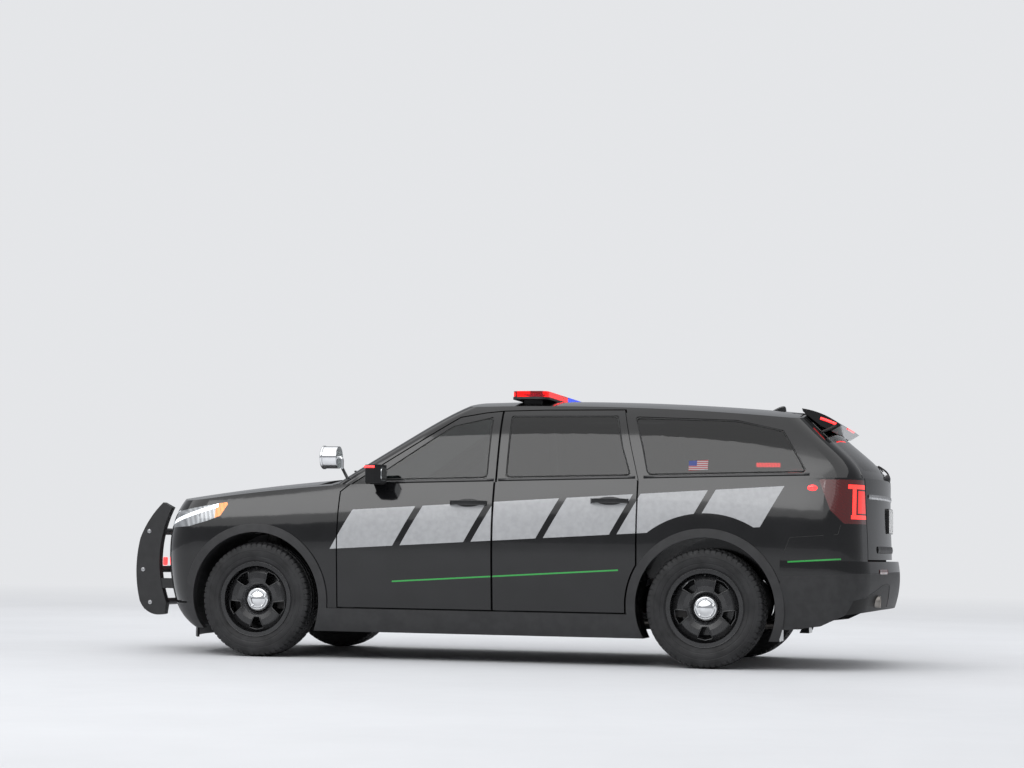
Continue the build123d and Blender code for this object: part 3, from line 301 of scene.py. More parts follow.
def tail_lens():
    """Dark red lens with a lit C-shaped outline round a dimmer middle."""
    graph = Graph("tail_lamp_lens")
    x, y, z = graph.split()
    upright, top, foot, middle = [
        graph.all_of(graph.between(x, back, front), graph.between(z, low, high))
        for back, front, low, high in (TAIL_UPRIGHT, TAIL_TOP, TAIL_FOOT, TAIL_MIDDLE)]
    outer = graph.above(graph.math("ABSOLUTE", y), 0.7)
    lit = graph.all_of(graph.any_of(upright, top, foot, graph.times(middle, 0.4)), outer)
    flutes = graph.wave(graph.plus(z, graph.times(x, 0.3)), 700.0)
    red = graph.mix(graph.ramp(flutes, -1, 1), (0.03, 0.0008, 0.0008, 1), (0.085, 0.002, 0.002, 1))
    graph.colour(graph.mix(lit, red, (0.9, 0.04, 0.03, 1)))
    graph.rough(0.12, 0.04, 40)
    graph.bump(flutes, 0.12, 0.001)
    graph.set(Emission_Color=graph.mix(lit, (0.006, 0, 0, 1), (1.0, 0.022, 0.016, 1)),
              Emission_Strength=1.8, Coat_Weight=1.0, Coat_Roughness=0.02)
    return graph.material


def fabric(name, colour, weave):
    """Woven cloth with a crossed thread pattern and sheen."""
    graph = Graph(name)
    x, y, z = graph.split()
    warp = graph.wave(graph.plus(y, graph.times(z, 0.2)), weave)
    weft = graph.wave(graph.plus(x, z), weave)
    threads = graph.any_of(warp, weft)
    graph.colour(graph.mix(graph.ramp(threads, -1, 1), tone(colour, 0.6), tone(colour)))
    graph.rough(0.85, 0.08, 30)
    graph.bump(threads, 0.3, 0.0006)
    graph.set(Sheen_Weight=0.3)
    return graph.material


def tyre_rubber():
    """Black rubber, unevenly grey with dust."""
    graph = Graph("tyre_rubber")
    graph.colour(graph.vary((0.018, 0.018, 0.019), 0.35, 9))
    graph.rough(0.62, 0.1, 25)
    graph.bump(graph.noise(420, 3), 0.25, 0.0008)
    graph.set(Specular_IOR_Level=0.35)
    return graph.material


paint = body_paint()
black_plastic = plain("grained_black_plastic", (0.02, 0.02, 0.021), 0.52, grain=700, grain_strength=0.35)
gloss_plastic = plain("gloss_black_plastic", (0.008, 0.008, 0.009), 0.14, Coat_Weight=0.5)
rubber = plain("black_rubber", (0.016, 0.016, 0.016), 0.68, grain=500, grain_strength=0.2)
powder_coat = plain("black_powder_coat", (0.016, 0.016, 0.017), 0.42, grain=900, grain_strength=0.4)
wheel_steel = plain("black_wheel_enamel", (0.012, 0.012, 0.013), 0.26, grain=300, grain_strength=0.06,
                    Coat_Weight=0.4)
chrome = plain("polished_chrome", (0.78, 0.79, 0.8), 0.07, 0.03, 0.05, Metallic=1.0)
satin_steel = plain("satin_steel", (0.5, 0.5, 0.51), 0.3, 0.06, 0.1, 30, Metallic=1.0)
cast_iron = plain("cast_iron", (0.07, 0.068, 0.066), 0.6, 0.1, 0.3, 22, grain=160, grain_strength=0.5,
                  Metallic=0.6)
chassis_paint = plain("chassis_black", (0.02, 0.02, 0.021), 0.48, grain=240, grain_strength=0.25)
exhaust_steel = plain("exhaust_steel", (0.3, 0.28, 0.26), 0.38, 0.1, 0.25, 9, Metallic=1.0)
engine_alloy = plain("engine_alloy", (0.28, 0.28, 0.28), 0.5, 0.1, 0.2, 12, grain=120, grain_strength=0.5,
                     Metallic=0.8)
dash_plastic = plain("soft_dash_plastic", (0.026, 0.026, 0.028), 0.6, grain=420, grain_strength=0.5)
privacy_glass = glass("privacy_glass", (0.012, 0.013, 0.013))
window_glass = glass("tinted_window_glass", (0.05, 0.055, 0.055))
screen_glass = glass("windscreen_glass", (0.3, 0.34, 0.33))
red_lens = glass("red_lens", (0.62, 0.02, 0.015), 0.08, 0.75)
blue_lens = glass("blue_lens", (0.015, 0.06, 0.62), 0.08, 0.75)
red_glow = lamp("red_lamp_glow", (1.0, 0.03, 0.03), 3.0)
beacon_glow = lamp("beacon_behind_tinted_glass", (1.0, 0.03, 0.03), 60.0)
blue_glow = lamp("blue_lamp_glow", (0.05, 0.2, 1.0), 3.0)
white_glow = lamp("white_lamp_glow", (0.62, 0.61, 0.58), 0.7)
fog_glass = lamp("fog_lamp_glass", (0.55, 0.57, 0.6), 0.25, 0.012)
mirror_glass = plain("mirror_glass", (0.75, 0.77, 0.78), 0.03, 0.01, 0.02, Metallic=1.0)
seat_cloth = fabric("seat_cloth", (0.055, 0.055, 0.06), 1500)
screen_face = plain("display_glass", (0.006, 0.007, 0.009), 0.08, 0.02)
plate_white = plain("blank_plate", (0.7, 0.7, 0.69), 0.3, 0.05, 0.05)

tail_glass = tail_lens()

NODE_MATERIALS = {
    paint: ("body_shell", "fenders", "hood", "liftgate", "mirror_l", "mirror_r",
            *(f"door_{corner}" for corner in CORNERS)),
    black_plastic: ("cladding", "wheel_liners", "light_bar_base"),
    gloss_plastic: ("grille",),
    privacy_glass: ("quarter_glass", "liftgate_glass", "glass_rl", "glass_rr"),
    window_glass: ("glass_fl", "glass_fr"),
    screen_glass: ("windscreen",),
    headlamp_lens(): ("headlamps",),
    tail_glass: ("tail_lamps",),
    red_lens: ("light_bar_red",),
    blue_lens: ("light_bar_blue",),
    beacon_glow: ("quarter_beacons",),
    wheel_steel: [f"rim_{corner}" for corner in CORNERS],
    powder_coat: ("push_bumper",),
    cast_iron: ("knuckle_l", "knuckle_r", "rear_suspension"),
    chassis_paint: ("front_structure", "crash_beam", "front_subframe", "door_hinges"),
    exhaust_steel: ("exhaust",),
    engine_alloy: ("engine_block",),
    chrome: ("spotlight",),
    dash_plastic: ("dashboard", "steering_wheel"),
}


def give(name, material):
    """Put a material on a CAD node in place of its own."""
    materials = node_objects[name].data.materials
    materials.clear()
    materials.append(material)


for material, names in NODE_MATERIALS.items():
    for name in names:
        give(name, material)

# Recesses of the bumper covers as corners of |Y| and Z, coloured near black in the covers' material as
# painted shade
FOG_POCKET = ((0.65, 0.44), (0.64, 0.545), (0.792, 0.572), (0.818, 0.47), (0.78, 0.43))
EXHAUST_RECESS = ((0.36, 0.34), (0.4, 0.545), (0.56, 0.54), (0.9, 0.446), (0.9, 0.34))


def within(graph, across, z, corners):
    """Mask of a convex outline whose corners run clockwise."""
    sides = []
    for (a0, z0), (a1, z1) in zip(corners, corners[1:] + corners[:1]):
        rise = graph.times(graph.minus(z, z0), a1 - a0)
        run = graph.times(graph.minus(across, a0), z1 - z0)
        sides.append(graph.below(rise, run))
    return graph.all_of(*sides)


def bumper_cover_paint(name, slope, height, pocket):
    """Body paint with the green line above a cover's crease, grained plastic below it and in its pockets,
    and painted shade that colours the pockets near black.
    """
    graph = Graph(name)
    x, y, z = graph.split()
    shaded_pocket = within(graph, graph.math("ABSOLUTE", y), z, pocket)
    low = graph.any_of(graph.below(z, graph.math("MULTIPLY_ADD", x, slope, height)), shaded_pocket)
    above = graph.mix(green_line(graph, x, y, z), graph.vary(BLACK, 0.3, 5), GREEN)
    # Painted shade: the pockets are coloured near black so that they read as recesses.
    plastic_and_pocket_shade = graph.mix(shaded_pocket, graph.vary((0.022, 0.022, 0.023), 0.15, 20), (0.004, 0.004, 0.004, 1))
    graph.colour(graph.mix(low, above, plastic_and_pocket_shade))
    graph.bump(graph.times(graph.noise(700, 2), low), 0.3, 0.001)
    graph.set(Roughness=graph.ramp(low, 0, 1, 0.12, 0.5), Coat_Weight=graph.ramp(low, 0, 1, 0.35, 0.0),
              Specular_IOR_Level=0.4, Coat_Roughness=0.03)
    return graph.material


give("rear_bumper", bumper_cover_paint("rear_bumper_cover", -0.05, 0.49, EXHAUST_RECESS))
give("front_fascia", bumper_cover_paint("front_fascia_cover", 0.0, 0.354, FOG_POCKET))


# Mesh helpers
def settle(obj, material, body="vehicle", smooth=True, bevel=0.0, segments=2, level=0):
    """Link a new piece, give it its material and finish, and let it ride on a body."""
    bpy.context.scene.collection.objects.link(obj)
    if smooth and obj.type == "MESH":
        obj.data.shade_smooth()
    obj.data.materials.append(material)
    if bevel:
        cut = obj.modifiers.new("bevel", "BEVEL")
        cut.width = bevel
        cut.segments = segments
        cut.limit_method = "ANGLE"
        cut.angle_limit = radians(35)
        cut.harden_normals = True
    if level:
        smoother = obj.modifiers.new("smooth", "SUBSURF")
        smoother.levels = smoother.render_levels = level
    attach(obj, body)
    return obj


def mesh_piece(name, points, faces):
    data = bpy.data.meshes.new(name)
    data.from_pydata([tuple(p) for p in points], [], faces)
    data.update()
    return bpy.data.objects.new(name, data)


def grid_faces(steps, rows, around=False, closed=False):
    """Faces of a sheet of points; its steps can run round, and each of its rows can be closed."""
    faces = []
    for step in range(steps if around else steps - 1):
        here, ahead = step * rows, (step + 1) % steps * rows
        for index in range(rows if closed else rows - 1):
            follow = (index + 1) % rows
            faces.append((here + index, here + follow, ahead + follow, ahead + index))
    return faces


def lathe(name, profile, count, modulate=None):
    """Solid of revolution about Y from (y, radius) points, closed at the axis or as a ring."""
    points = []
    for step in range(count):
        angle = 2 * pi * step / count
        for y, radius in profile:
            r = modulate(step, y, radius) if modulate else radius
            points.append((r * sin(angle), y, r * cos(angle)))
    return mesh_piece(name, points, grid_faces(count, len(profile), around=True))


PLANES = {"XZ": lambda a, b, c: (a, c, b), "YZ": lambda a, b, c: (c, a, b)}


def extruded(name, outline, low, high, plane="XZ"):
    """Prism of a closed outline; XZ outlines run along Y and YZ outlines along X."""
    count = len(outline)
    points = [PLANES[plane](a, b, c) for c in (low, high) for a, b in outline]
    faces = [tuple(range(count)), tuple(range(2 * count - 1, count - 1, -1))]
    faces += [(i, (i + 1) % count, count + (i + 1) % count, count + i) for i in range(count)]
    obj = mesh_piece(name, points, faces)
    work = bmesh.new()
    work.from_mesh(obj.data)
    bmesh.ops.recalc_face_normals(work, faces=work.faces)
    work.to_mesh(obj.data)
    work.free()
    return obj


def rounded_outline(width, height, radius, steps=6, centre=(0, 0)):
    points = []
    for sx, sy, start in ((1, 1, 0), (-1, 1, 90), (-1, -1, 180), (1, -1, 270)):
        for step in range(steps + 1):
            angle = radians(start + 90 * step / steps)
            points.append((centre[0] + sx * (width / 2 - radius) + radius * cos(angle),
                           centre[1] + sy * (height / 2 - radius) + radius * sin(angle)))
    return points


def bars(name, runs, radius, resolution=3, closed=False, smooth=True):
    """Round bars along runs of points, as one curve; smooth bars have closed ends."""
    data = bpy.data.curves.new(name, "CURVE")
    data.dimensions = "3D"
    data.bevel_depth = radius
    data.bevel_resolution = resolution
    data.use_fill_caps = smooth
    for run in runs:
        spline = data.splines.new("NURBS" if smooth else "POLY")
        spline.points.add(len(run) - 1)
        for point, place in zip(spline.points, run):
            point.co = (*place, 1)
        spline.use_cyclic_u = closed
        if smooth:
            spline.order_u = 3
            spline.use_endpoint_u = not closed
    return bpy.data.objects.new(name, data)


def tube(name, points, radius, closed=False):
    return bars(name, [points], radius, closed=closed)


def surface_of(*names):
    points, faces = [], []
    for name in names:
        mesh = node_objects[name].data
        start = len(points)
        points += [node_objects[name].matrix_world @ v.co for v in mesh.vertices]
        faces += [tuple(start + i for i in p.vertices) for p in mesh.polygons]
    return BVHTree.FromPolygons(points, faces)


SKIN_NODES = ("body_shell", "fenders", "front_fascia", "hood", "liftgate", "liftgate_glass",
              "door_fl", "door_rl", "door_fr", "door_rr", "glass_fl", "glass_rl", "glass_fr", "glass_rr",
              "quarter_glass", "rear_bumper", "windscreen", "tail_lamps", "headlamps", "cladding")
skin = surface_of(*SKIN_NODES)


def on_skin(start, direction, lift, otherwise):
    """Point where a ray meets the body, lifted off the surface."""
    hit, normal = skin.ray_cast(Vector(start), Vector(direction))[:2]
    return hit + normal * lift if hit else Vector(otherwise)


def side_y(x, z, lift=0.0, side=1):
    return on_skin((x, 2.0 * side, z), (0, -side, 0), lift, (x, side * 0.95, z))


def end_x(y, z, lift=0.0, end=1):
    return on_skin((3.5 * end, y, z), (-end, 0, 0), lift, (2.4 * end, y, z))


def top_z(x, y, lift=0.0):
    return on_skin((x, y, 3.0), (0, 0, -1), lift, (x, y, 1.7))


def ribbon(name, centre_line, across, thickness):
    """Closed strip that follows points, with a rounded raised section."""
    section = ((-1, -0.6), (-0.8, 0.6), (0, 1), (0.8, 0.6), (1, -0.6))
    points = [place + sideways * (u * across / 2) + normal * (v * thickness)
              for place, normal, sideways in centre_line for u, v in section]
    rows = len(section)
    faces = grid_faces(len(centre_line), rows, closed=True)
    last = (len(centre_line) - 1) * rows
    faces += [tuple(range(rows)), tuple(range(last + rows - 1, last - 1, -1))]
    return mesh_piece(name, points, faces)


def even(start, end, count):
    return [start + (end - start) * step / (count - 1) for step in range(count)]


def part_way(first, last, share):
    """Point at a share of the way from one point to another."""
    return [a + (b - a) * share for a, b in zip(first, last)]


def along(corners, shares):
    """Points at the same shares of each run of a broken line."""
    return [part_way(first, last, share) for first, last in zip(corners, corners[1:]) for share in shares]


def heading(places, index):
    """Direction of a row of places at one of them."""
    return places[min(index + 1, len(places) - 1)] - places[max(index - 1, 0)]


def toward(vector, wanted):
    """The vector, turned round where it looks away from the wanted direction."""
    return vector if vector.dot(wanted) > 0 else -vector


def on_both(points, side):
    """Points made for the left side, mirrored for the right one."""
    return [(x, side * y, z) for x, y, z in points]


def standing(place, angle=0.0):
    """Placement at a point, turned about Z."""
    return Matrix.Translation(place) @ Matrix.Rotation(angle, 4, "Z")


def half_turn(side):
    return pi if side < 0 else 0


# Camera, solved on the photograph
YAW, PITCH, ROLL = radians(14.61), radians(4.47), radians(0.82)
CAMERA_PLACE = Vector((-3.744, 14.42, 0.724))
flat_forward = Vector((sin(YAW), -cos(YAW), 0))
flat_right = Vector((-cos(YAW), -sin(YAW), 0))
forward = flat_forward * cos(PITCH) + UP * sin(PITCH)
upward = UP * cos(PITCH) - flat_forward * sin(PITCH)
right = flat_right * cos(ROLL) + upward * sin(ROLL)
up = upward * cos(ROLL) - flat_right * sin(ROLL)
camera_data = bpy.data.cameras.new("camera")
camera_data.sensor_width = 36
camera_data.lens = 75.2
camera_data.clip_end = 200
camera = bpy.data.objects.new("camera", camera_data)
bpy.context.scene.collection.objects.link(camera)
camera.matrix_world = Matrix.Translation(CAMERA_PLACE) @ Matrix((right, up, -forward)).transposed().to_4x4()
bpy.context.scene.camera = camera
bpy.context.scene.view_settings.view_transform = "Standard"

# World and lamps
BACKDROP = (0.78, 0.79, 0.81, 1)
AMBIENT = (0.8, 0.82, 0.86, 1)
AMBIENT_STRENGTH = 0.45
FLOOR_NEAR, FLOOR_FAR = 6, 26
world = bpy.data.worlds.new("studio")
bpy.context.scene.world = world
world.use_nodes = True
sky = Tree(world.node_tree)
backdrop = sky.node("Background", {0: BACKDROP})
ambient = sky.node("Background", {0: AMBIENT, 1: AMBIENT_STRENGTH})
mixed = sky.node("MixShader", {0: sky.seen(), 1: ambient, 2: backdrop})
sky.put(sky.tree.nodes["World Output"].inputs[0], mixed)


def area_lamp(name, place, target, size, power, mirrored=True):
    """Rectangular lamp aimed at a point; reflections can leave it out."""
    data = bpy.data.lights.new(name, "AREA")
    data.shape = "RECTANGLE"
    data.size, data.size_y = size
    data.energy = power
    lamp_object = bpy.data.objects.new(name, data)
    lamp_object.visible_glossy = mirrored
    bpy.context.scene.collection.objects.link(lamp_object)
    lamp_object.location = place
    lamp_object.rotation_euler = (Vector(target) - Vector(place)).to_track_quat("-Z", "Y").to_euler()


area_lamp("key", (2.5, 8.5, 6.5), (0, 0, 0.8), (9, 4), 300)
area_lamp("rear", (-9, -2, 4.5), (0, 0, 0.8), (6, 4), 160, mirrored=False)
area_lamp("far", (3, -8.5, 5.5), (0, 0, 0.8), (9, 4), 160, mirrored=False)
sun = bpy.data.lights.new("overhead", "SUN")
sun.energy = 2.2
sun.angle = radians(110)
sun_object = bpy.data.objects.new("overhead", sun)
sun_object.rotation_euler = (radians(-18), radians(12), 0)
bpy.context.scene.collection.objects.link(sun_object)


def blend_floor_into_backdrop(graph):
    """Let the floor take the backdrop's colour far from the object, for the camera alone."""
    x, y = graph.split()[:2]
    share = graph.times(graph.seen(), graph.ramp(graph.radius(x, y), FLOOR_NEAR, FLOOR_FAR))
    glow = graph.node("Emission", {"Color": BACKDROP})
    mixed = graph.node("MixShader", {0: share, 1: graph.shader.outputs[0], 2: glow})
    graph.put(graph.tree.nodes["Material Output"].inputs["Surface"], mixed)


floor = mesh_piece("floor", [(-40, -40, 0), (40, -40, 0), (40, 40, 0), (-40, 40, 0)], [(0, 1, 2, 3)])
bpy.context.scene.collection.objects.link(floor)
floor_graph = Graph("pale_floor")
floor_graph.colour(floor_graph.vary((0.66, 0.67, 0.69), 0.02, 0.7))
floor_graph.rough(0.6, 0.05, 5)
blend_floor_into_backdrop(floor_graph)
floor.data.materials.append(floor_graph.material)


# Tyres and wheels, made about the Y axis with the outboard side at +Y
def wheel_place(corner):
    x, side = CORNERS[corner]
    return standing((x, side * WHEEL_Y, WHEEL_Z), half_turn(side))


TYRE_STEPS = 300
TREAD_PITCH = 5
TREAD_HALF = 0.105
SHOULDER_FROM_Y = 0.0715
SHOULDER_GROOVE = 0.0075
SIPE = 0.0035
SIDEWALL = [(0.104, 0.2295), (0.1055, 0.2475), (0.1185, 0.262), (0.1232, 0.279), (0.1222, 0.282),
            (0.1258, 0.29), (0.1275, 0.304), (0.1268, 0.318), (0.1252, 0.3205), (0.1252, 0.324),
            (0.1262, 0.3265), (0.1232, 0.345), (0.1172, 0.359), (0.1135, 0.3665)]
GROOVES = (0.066, 0.024, -0.024, -0.066)
GROOVE_SECTION = ((0.0065, 0), (0.004, 0.0085), (-0.004, 0.0085), (-0.0065, 0))


def tread_radius(y):
    return WHEEL_Z - 0.0095 * (abs(y) / TREAD_HALF) ** 3


def tyre_profile():
    profile = SIDEWALL + [(TREAD_HALF, tread_radius(TREAD_HALF))]
    for groove in GROOVES:
        for offset, drop in GROOVE_SECTION:
            y = groove + offset
            profile.append((y, tread_radius(y) - drop))
    profile.append((-TREAD_HALF, tread_radius(TREAD_HALF)))
    return profile + [(-y, radius) for y, radius in reversed(SIDEWALL)]


def tread_cut(step, y, radius):
    """Cross grooves in the shoulders and fine sipes in the ribs."""
    if radius < 0.355:
        return radius
    place = (step + (2 if y < 0 else 0)) % TREAD_PITCH
    if abs(y) > SHOULDER_FROM_Y:
        return radius - (SHOULDER_GROOVE if place == 0 else 0)
    return radius - (SIPE if (place + int(abs(y) * 60)) % TREAD_PITCH == 1 else 0)


tyre_pattern = lathe("tyre_pattern", tyre_profile(), TYRE_STEPS, tread_cut)
tyre_pattern.data.materials.append(tyre_rubber())
tyre_pattern.data.shade_flat()
for corner, body in WHEEL_BODIES.items():
    tyre = bpy.data.objects.new(f"tyre_{corner}_tread", tyre_pattern.data)
    tyre.matrix_world = wheel_place(corner)
    bpy.context.scene.collection.objects.link(tyre)
    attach(tyre, body)
    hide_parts(f"tyre_{corner}")
bpy.data.objects.remove(tyre_pattern)

# Wheel parts: the disc's face as radius and Y, a window as radius and side, the valve as X, Y and Z,
# and the turned parts as Y and radius
DISC_FACE = ((0.082, 0.044), (0.108, 0.08), (0.14, 0.088), (0.178, 0.086), (0.206, 0.07))
WINDOW = ((0.116, -0.019), (0.19, -0.052), (0.203, 0.0), (0.19, 0.052), (0.116, 0.019))
WINDOW_ROUNDING = 0.014
SPOKES = 5
NUT_CIRCLE = 0.0572
NUT = ((0.06, 0.0105), (0.074, 0.0105), (0.078, 0.0085), (0.083, 0.005), (0.0835, 0.0001))
CAP = ((0.046, 0.082), (0.05, 0.0815), (0.068, 0.0785), (0.0775, 0.0705), (0.0792, 0.0665), (0.0785, 0.0645),
       (0.0785, 0.05), (0.0795, 0.046), (0.0845, 0.040), (0.091, 0.028), (0.0945, 0.014), (0.0955, 0.0001))
RIM_EDGE = ((0.106, 0.2445), (0.1115, 0.2455), (0.1125, 0.248), (0.111, 0.2505), (0.106, 0.2495))
VALVE = ((0.0, 0.075, 0.212), (0.0, 0.09, 0.2105), (0.0, 0.101, 0.207))
DUST_SHIELD = ((-0.047, 0.07), (-0.049, 0.15), (-0.046, 0.19), (-0.034, 0.2045), (-0.0335, 0.2055),
               (-0.048, 0.1925), (-0.051, 0.15), (-0.049, 0.07))


def disc_y(radius):
    for (r0, y0), (r1, y1) in zip(DISC_FACE, DISC_FACE[1:]):
        if radius <= r1:
            return y0 + (y1 - y0) * (radius - r0) / (r1 - r0)
    return DISC_FACE[-1][1]


def window_lip(angle):
    """Points of a rounded loop round one window, on the face of the disc."""
    points = []
    for index, corner in enumerate(WINDOW):
        corner = Vector(corner)
        before, after = Vector(WINDOW[index - 1]), Vector(WINDOW[(index + 1) % len(WINDOW)])
        for other in (before, corner, after):
            place = corner + (other - corner).normalized() * WINDOW_ROUNDING
            turned = angle + atan2(place.y, place.x)
            radius = place.length
            points.append((radius * sin(turned), disc_y(radius) + 0.001, radius * cos(turned)))
    return points


def add_wheel_details(corner, body):
    pieces = []
    for number in range(SPOKES):
        angle = 2 * pi * number / SPOKES
        lip = tube(f"wheel_lip_{corner}_{number}", window_lip(pi + angle), 0.0045, closed=True)
        nut = lathe(f"wheel_nut_{corner}_{number}", NUT, 6)
        nut.matrix_world = standing((NUT_CIRCLE * sin(angle), 0.006, NUT_CIRCLE * cos(angle)))
        pieces += [(lip, wheel_steel), (nut, chrome)]
    pieces += [(lathe(f"wheel_cap_{corner}", CAP, 72), chrome),
               (lathe(f"wheel_edge_{corner}", RIM_EDGE, 120), wheel_steel),
               (tube(f"wheel_valve_{corner}", VALVE, 0.0042), rubber)]
    for piece, material in pieces:
        piece.matrix_world = wheel_place(corner) @ piece.matrix_world
        settle(piece, material, body)


for corner, body in WHEEL_BODIES.items():
    add_wheel_details(corner, body)
for corner, body in SHIELD_BODIES.items():
    shield = lathe(f"dust_shield_{corner}", DUST_SHIELD, 72)
    shield.matrix_world = wheel_place(corner)
    settle(shield, chassis_paint, body)


# Mouldings, seals and handles on the sides
SILL_Z = 1.184
SILL_FALL = 0.0239


def sill_strip(name, front, back, bodies):
    """Moulding along the foot of the side windows."""
    for side, tag in SIDES:
        outward = LEFTWARD * side
        places = [side_y(x, SILL_Z - SILL_FALL * x, 0.001, side) for x in even(front, back, 14)]
        rows = []
        for index, place in enumerate(places):
            ahead = heading(places, index)
            across = outward.cross(ahead).normalized()
            normal = ahead.cross(across).normalized()
            rows.append((place, toward(normal, outward), across))
        strip = ribbon(f"sill_strip_{name}_{tag}", rows, 0.02, 0.004)
        settle(strip, gloss_plastic, bodies[side])


def window_seal(name, corners, bodies):
    """Rubber seal round a side window."""
    for side, tag in SIDES:
        points = []
        for first, last in zip(corners, corners[1:] + corners[:1]):
            count = max(2, int(hypot(last[0] - first[0], last[1] - first[1]) / 0.06))
            points += [side_y(*part_way(first, last, step / count), 0.0005, side) for step in range(count)]
        settle(tube(f"seal_{name}_{tag}", points, 0.0045, closed=True), rubber, bodies[side])


sill_strip("front", 0.78, -0.105, FRONT_DOORS)
sill_strip("rear", -0.135, -1.045, REAR_DOORS)
sill_strip("quarter", -1.1, -2.16, BOTH_ON_VEHICLE)
window_seal("front", ((0.74, 1.186), (0.212, 1.548), (-0.056, 1.608), (-0.056, 1.206)), FRONT_DOORS)
window_seal("rear", ((-0.188, 1.208), (-0.188, 1.612), (-0.9, 1.612), (-0.95, 1.4), (-1.01, 1.226)),
            REAR_DOORS)
window_seal("quarter", ((-1.125, 1.23), (-1.078, 1.42), (-1.02, 1.6), (-1.68, 1.58), (-1.98, 1.515),
                        (-2.135, 1.254)), BOTH_ON_VEHICLE)

# Points of a handle's grip: along the door, up, and out from it
GRIP = ((0.118, -0.001, 0.004), (0.105, 0, 0.022), (0.075, 0.001, 0.036), (0, 0.002, 0.041),
        (-0.075, 0.001, 0.036), (-0.105, 0, 0.022), (-0.118, -0.001, 0.004))
CUP_STEPS = 40
paint_plain = plain("gloss_black_trim", (0.006, 0.006, 0.0065), 0.2, Coat_Weight=0.6)


def door_handle(name, x, z, bodies):
    """Bowed pull handle over a dished cup."""
    for side, tag in SIDES:
        grip = [side_y(x + back, z + rise, 0, side) + LEFTWARD * (side * lift) for back, rise, lift in GRIP]
        rows = []
        for index, place in enumerate(grip):
            rows.append((place, heading(grip, index).normalized().cross(UP).normalized() * -side, UP))
        handle = ribbon(f"handle_{name}_{tag}", rows, 0.03, 0.008)
        settle(handle, paint_plain, bodies[side], bevel=0.002, level=2)
        angles = [2 * pi * step / CUP_STEPS for step in range(CUP_STEPS)]
        rim = [side_y(x + 0.085 * cos(angle), z + 0.026 * sin(angle), 0.0012, side) for angle in angles]
        cup = mesh_piece(f"handle_{name}_{tag}_cup", rim, [tuple(range(CUP_STEPS))])
        settle(cup, black_plastic, bodies[side], smooth=False)


def mirror_details(side, tag):
    face = rounded_outline(0.118, 0.09, 0.03, centre=(1.058, 1.216))
    pane = extruded(f"mirror_glass_{tag}", [(y * side, z) for y, z in face], 0.5955, 0.601, "YZ")
    settle(pane, mirror_glass, FRONT_DOORS[side], smooth=False, bevel=0.002)
    line = on_both(((0.64, 1.127, 1.262), (0.68, 1.122, 1.263), (0.715, 1.107, 1.262)), side)
    settle(tube(f"mirror_lamp_{tag}", line, 0.008), red_glow, FRONT_DOORS[side])


door_handle("front", 0.045, 1.035, FRONT_DOORS)
door_handle("rear", -0.895, 1.055, REAR_DOORS)
for side, tag in SIDES:
    mirror_details(side, tag)


# Patch on the quarter glass and the round lamp further back
PATCH = ((-1.388, 1.255), (-1.512, 1.262), (-1.512, 1.325), (-1.388, 1.318))
STRIPE_PITCH = 0.0128
QUARTER_LAMP = ((0, 0.026), (0.004, 0.026), (0.007, 0.021), (0.009, 0.012), (0.0095, 0.0001))


def window_patch(name, side, material, steps=8):
    """Thin sheet laid on the side glass within four corners."""
    points = []
    for row in range(steps + 1):
        for column in range(steps + 1):
            low = part_way(PATCH[0], PATCH[1], column / steps)
            high = part_way(PATCH[3], PATCH[2], column / steps)
            points.append(side_y(*part_way(low, high, row / steps), 0.001, side))
    settle(mesh_piece(name, points, grid_faces(steps + 1, steps + 1)), material)


def patch_material():
    """Generic striped patch with a plain blue corner."""
    graph = Graph("striped_patch")
    place = graph.split()
    stripe = graph.above(graph.wave(place["Z"], 2 * pi / STRIPE_PITCH), 0.0)
    corner = graph.all_of(graph.above(place["X"], -1.44), graph.above(place["Z"], 1.287))
    stripes = graph.mix(stripe, (0.35, 0.35, 0.36, 1), (0.3, 0.02, 0.025, 1))
    graph.colour(graph.mix(corner, stripes, (0.02, 0.04, 0.2, 1)))
    graph.rough(0.5, 0.05, 80)
    return graph.material


patch_stripes = patch_material()
for side, tag in SIDES:
    window_patch(f"window_patch_{tag}", side, patch_stripes)
    round_lamp = lathe(f"quarter_lamp_{tag}", QUARTER_LAMP, 28)
    oval = Matrix.Diagonal((1.2, 1, 0.75, 1))
    round_lamp.matrix_world = standing(side_y(-2.187, 1.148, -0.001, side), half_turn(side)) @ oval
    settle(round_lamp, red_glow)

# Fog lamps in the pockets of the front bumper cover, and a dark shutter behind the lower intake
FOG_Y = 0.725
FOG_Z = 0.505
FOG_PARTS = (("bezel", 0.125, 0.062, -0.006, 0.008, black_plastic, "trim_black"),
             ("glass", 0.105, 0.044, 0.002, 0.013, fog_glass, "clear_lamp"))
for side, tag in SIDES:
    inner, outer = end_x(side * (FOG_Y - 0.05), FOG_Z), end_x(side * (FOG_Y + 0.05), FOG_Z)
    turn = atan2(-(outer.x - inner.x), abs(outer.y - inner.y)) * side
    for part, width, height, low, high, material, slot in FOG_PARTS:
        outline = rounded_outline(width, height, height * 0.45)
        piece = extruded(f"fog_lamp_{part}_{tag}", outline, low, high, "YZ")
        piece.matrix_world = standing((inner + outer) / 2, turn)
        settle(piece, material, bevel=0.003)
outline = rounded_outline(1.12, 0.185, 0.02, centre=(0, 0.3525))
shutter = extruded("intake_shutter", outline, 2.153, 2.158, "YZ")
settle(shutter, black_plastic, smooth=False, bevel=0.001)


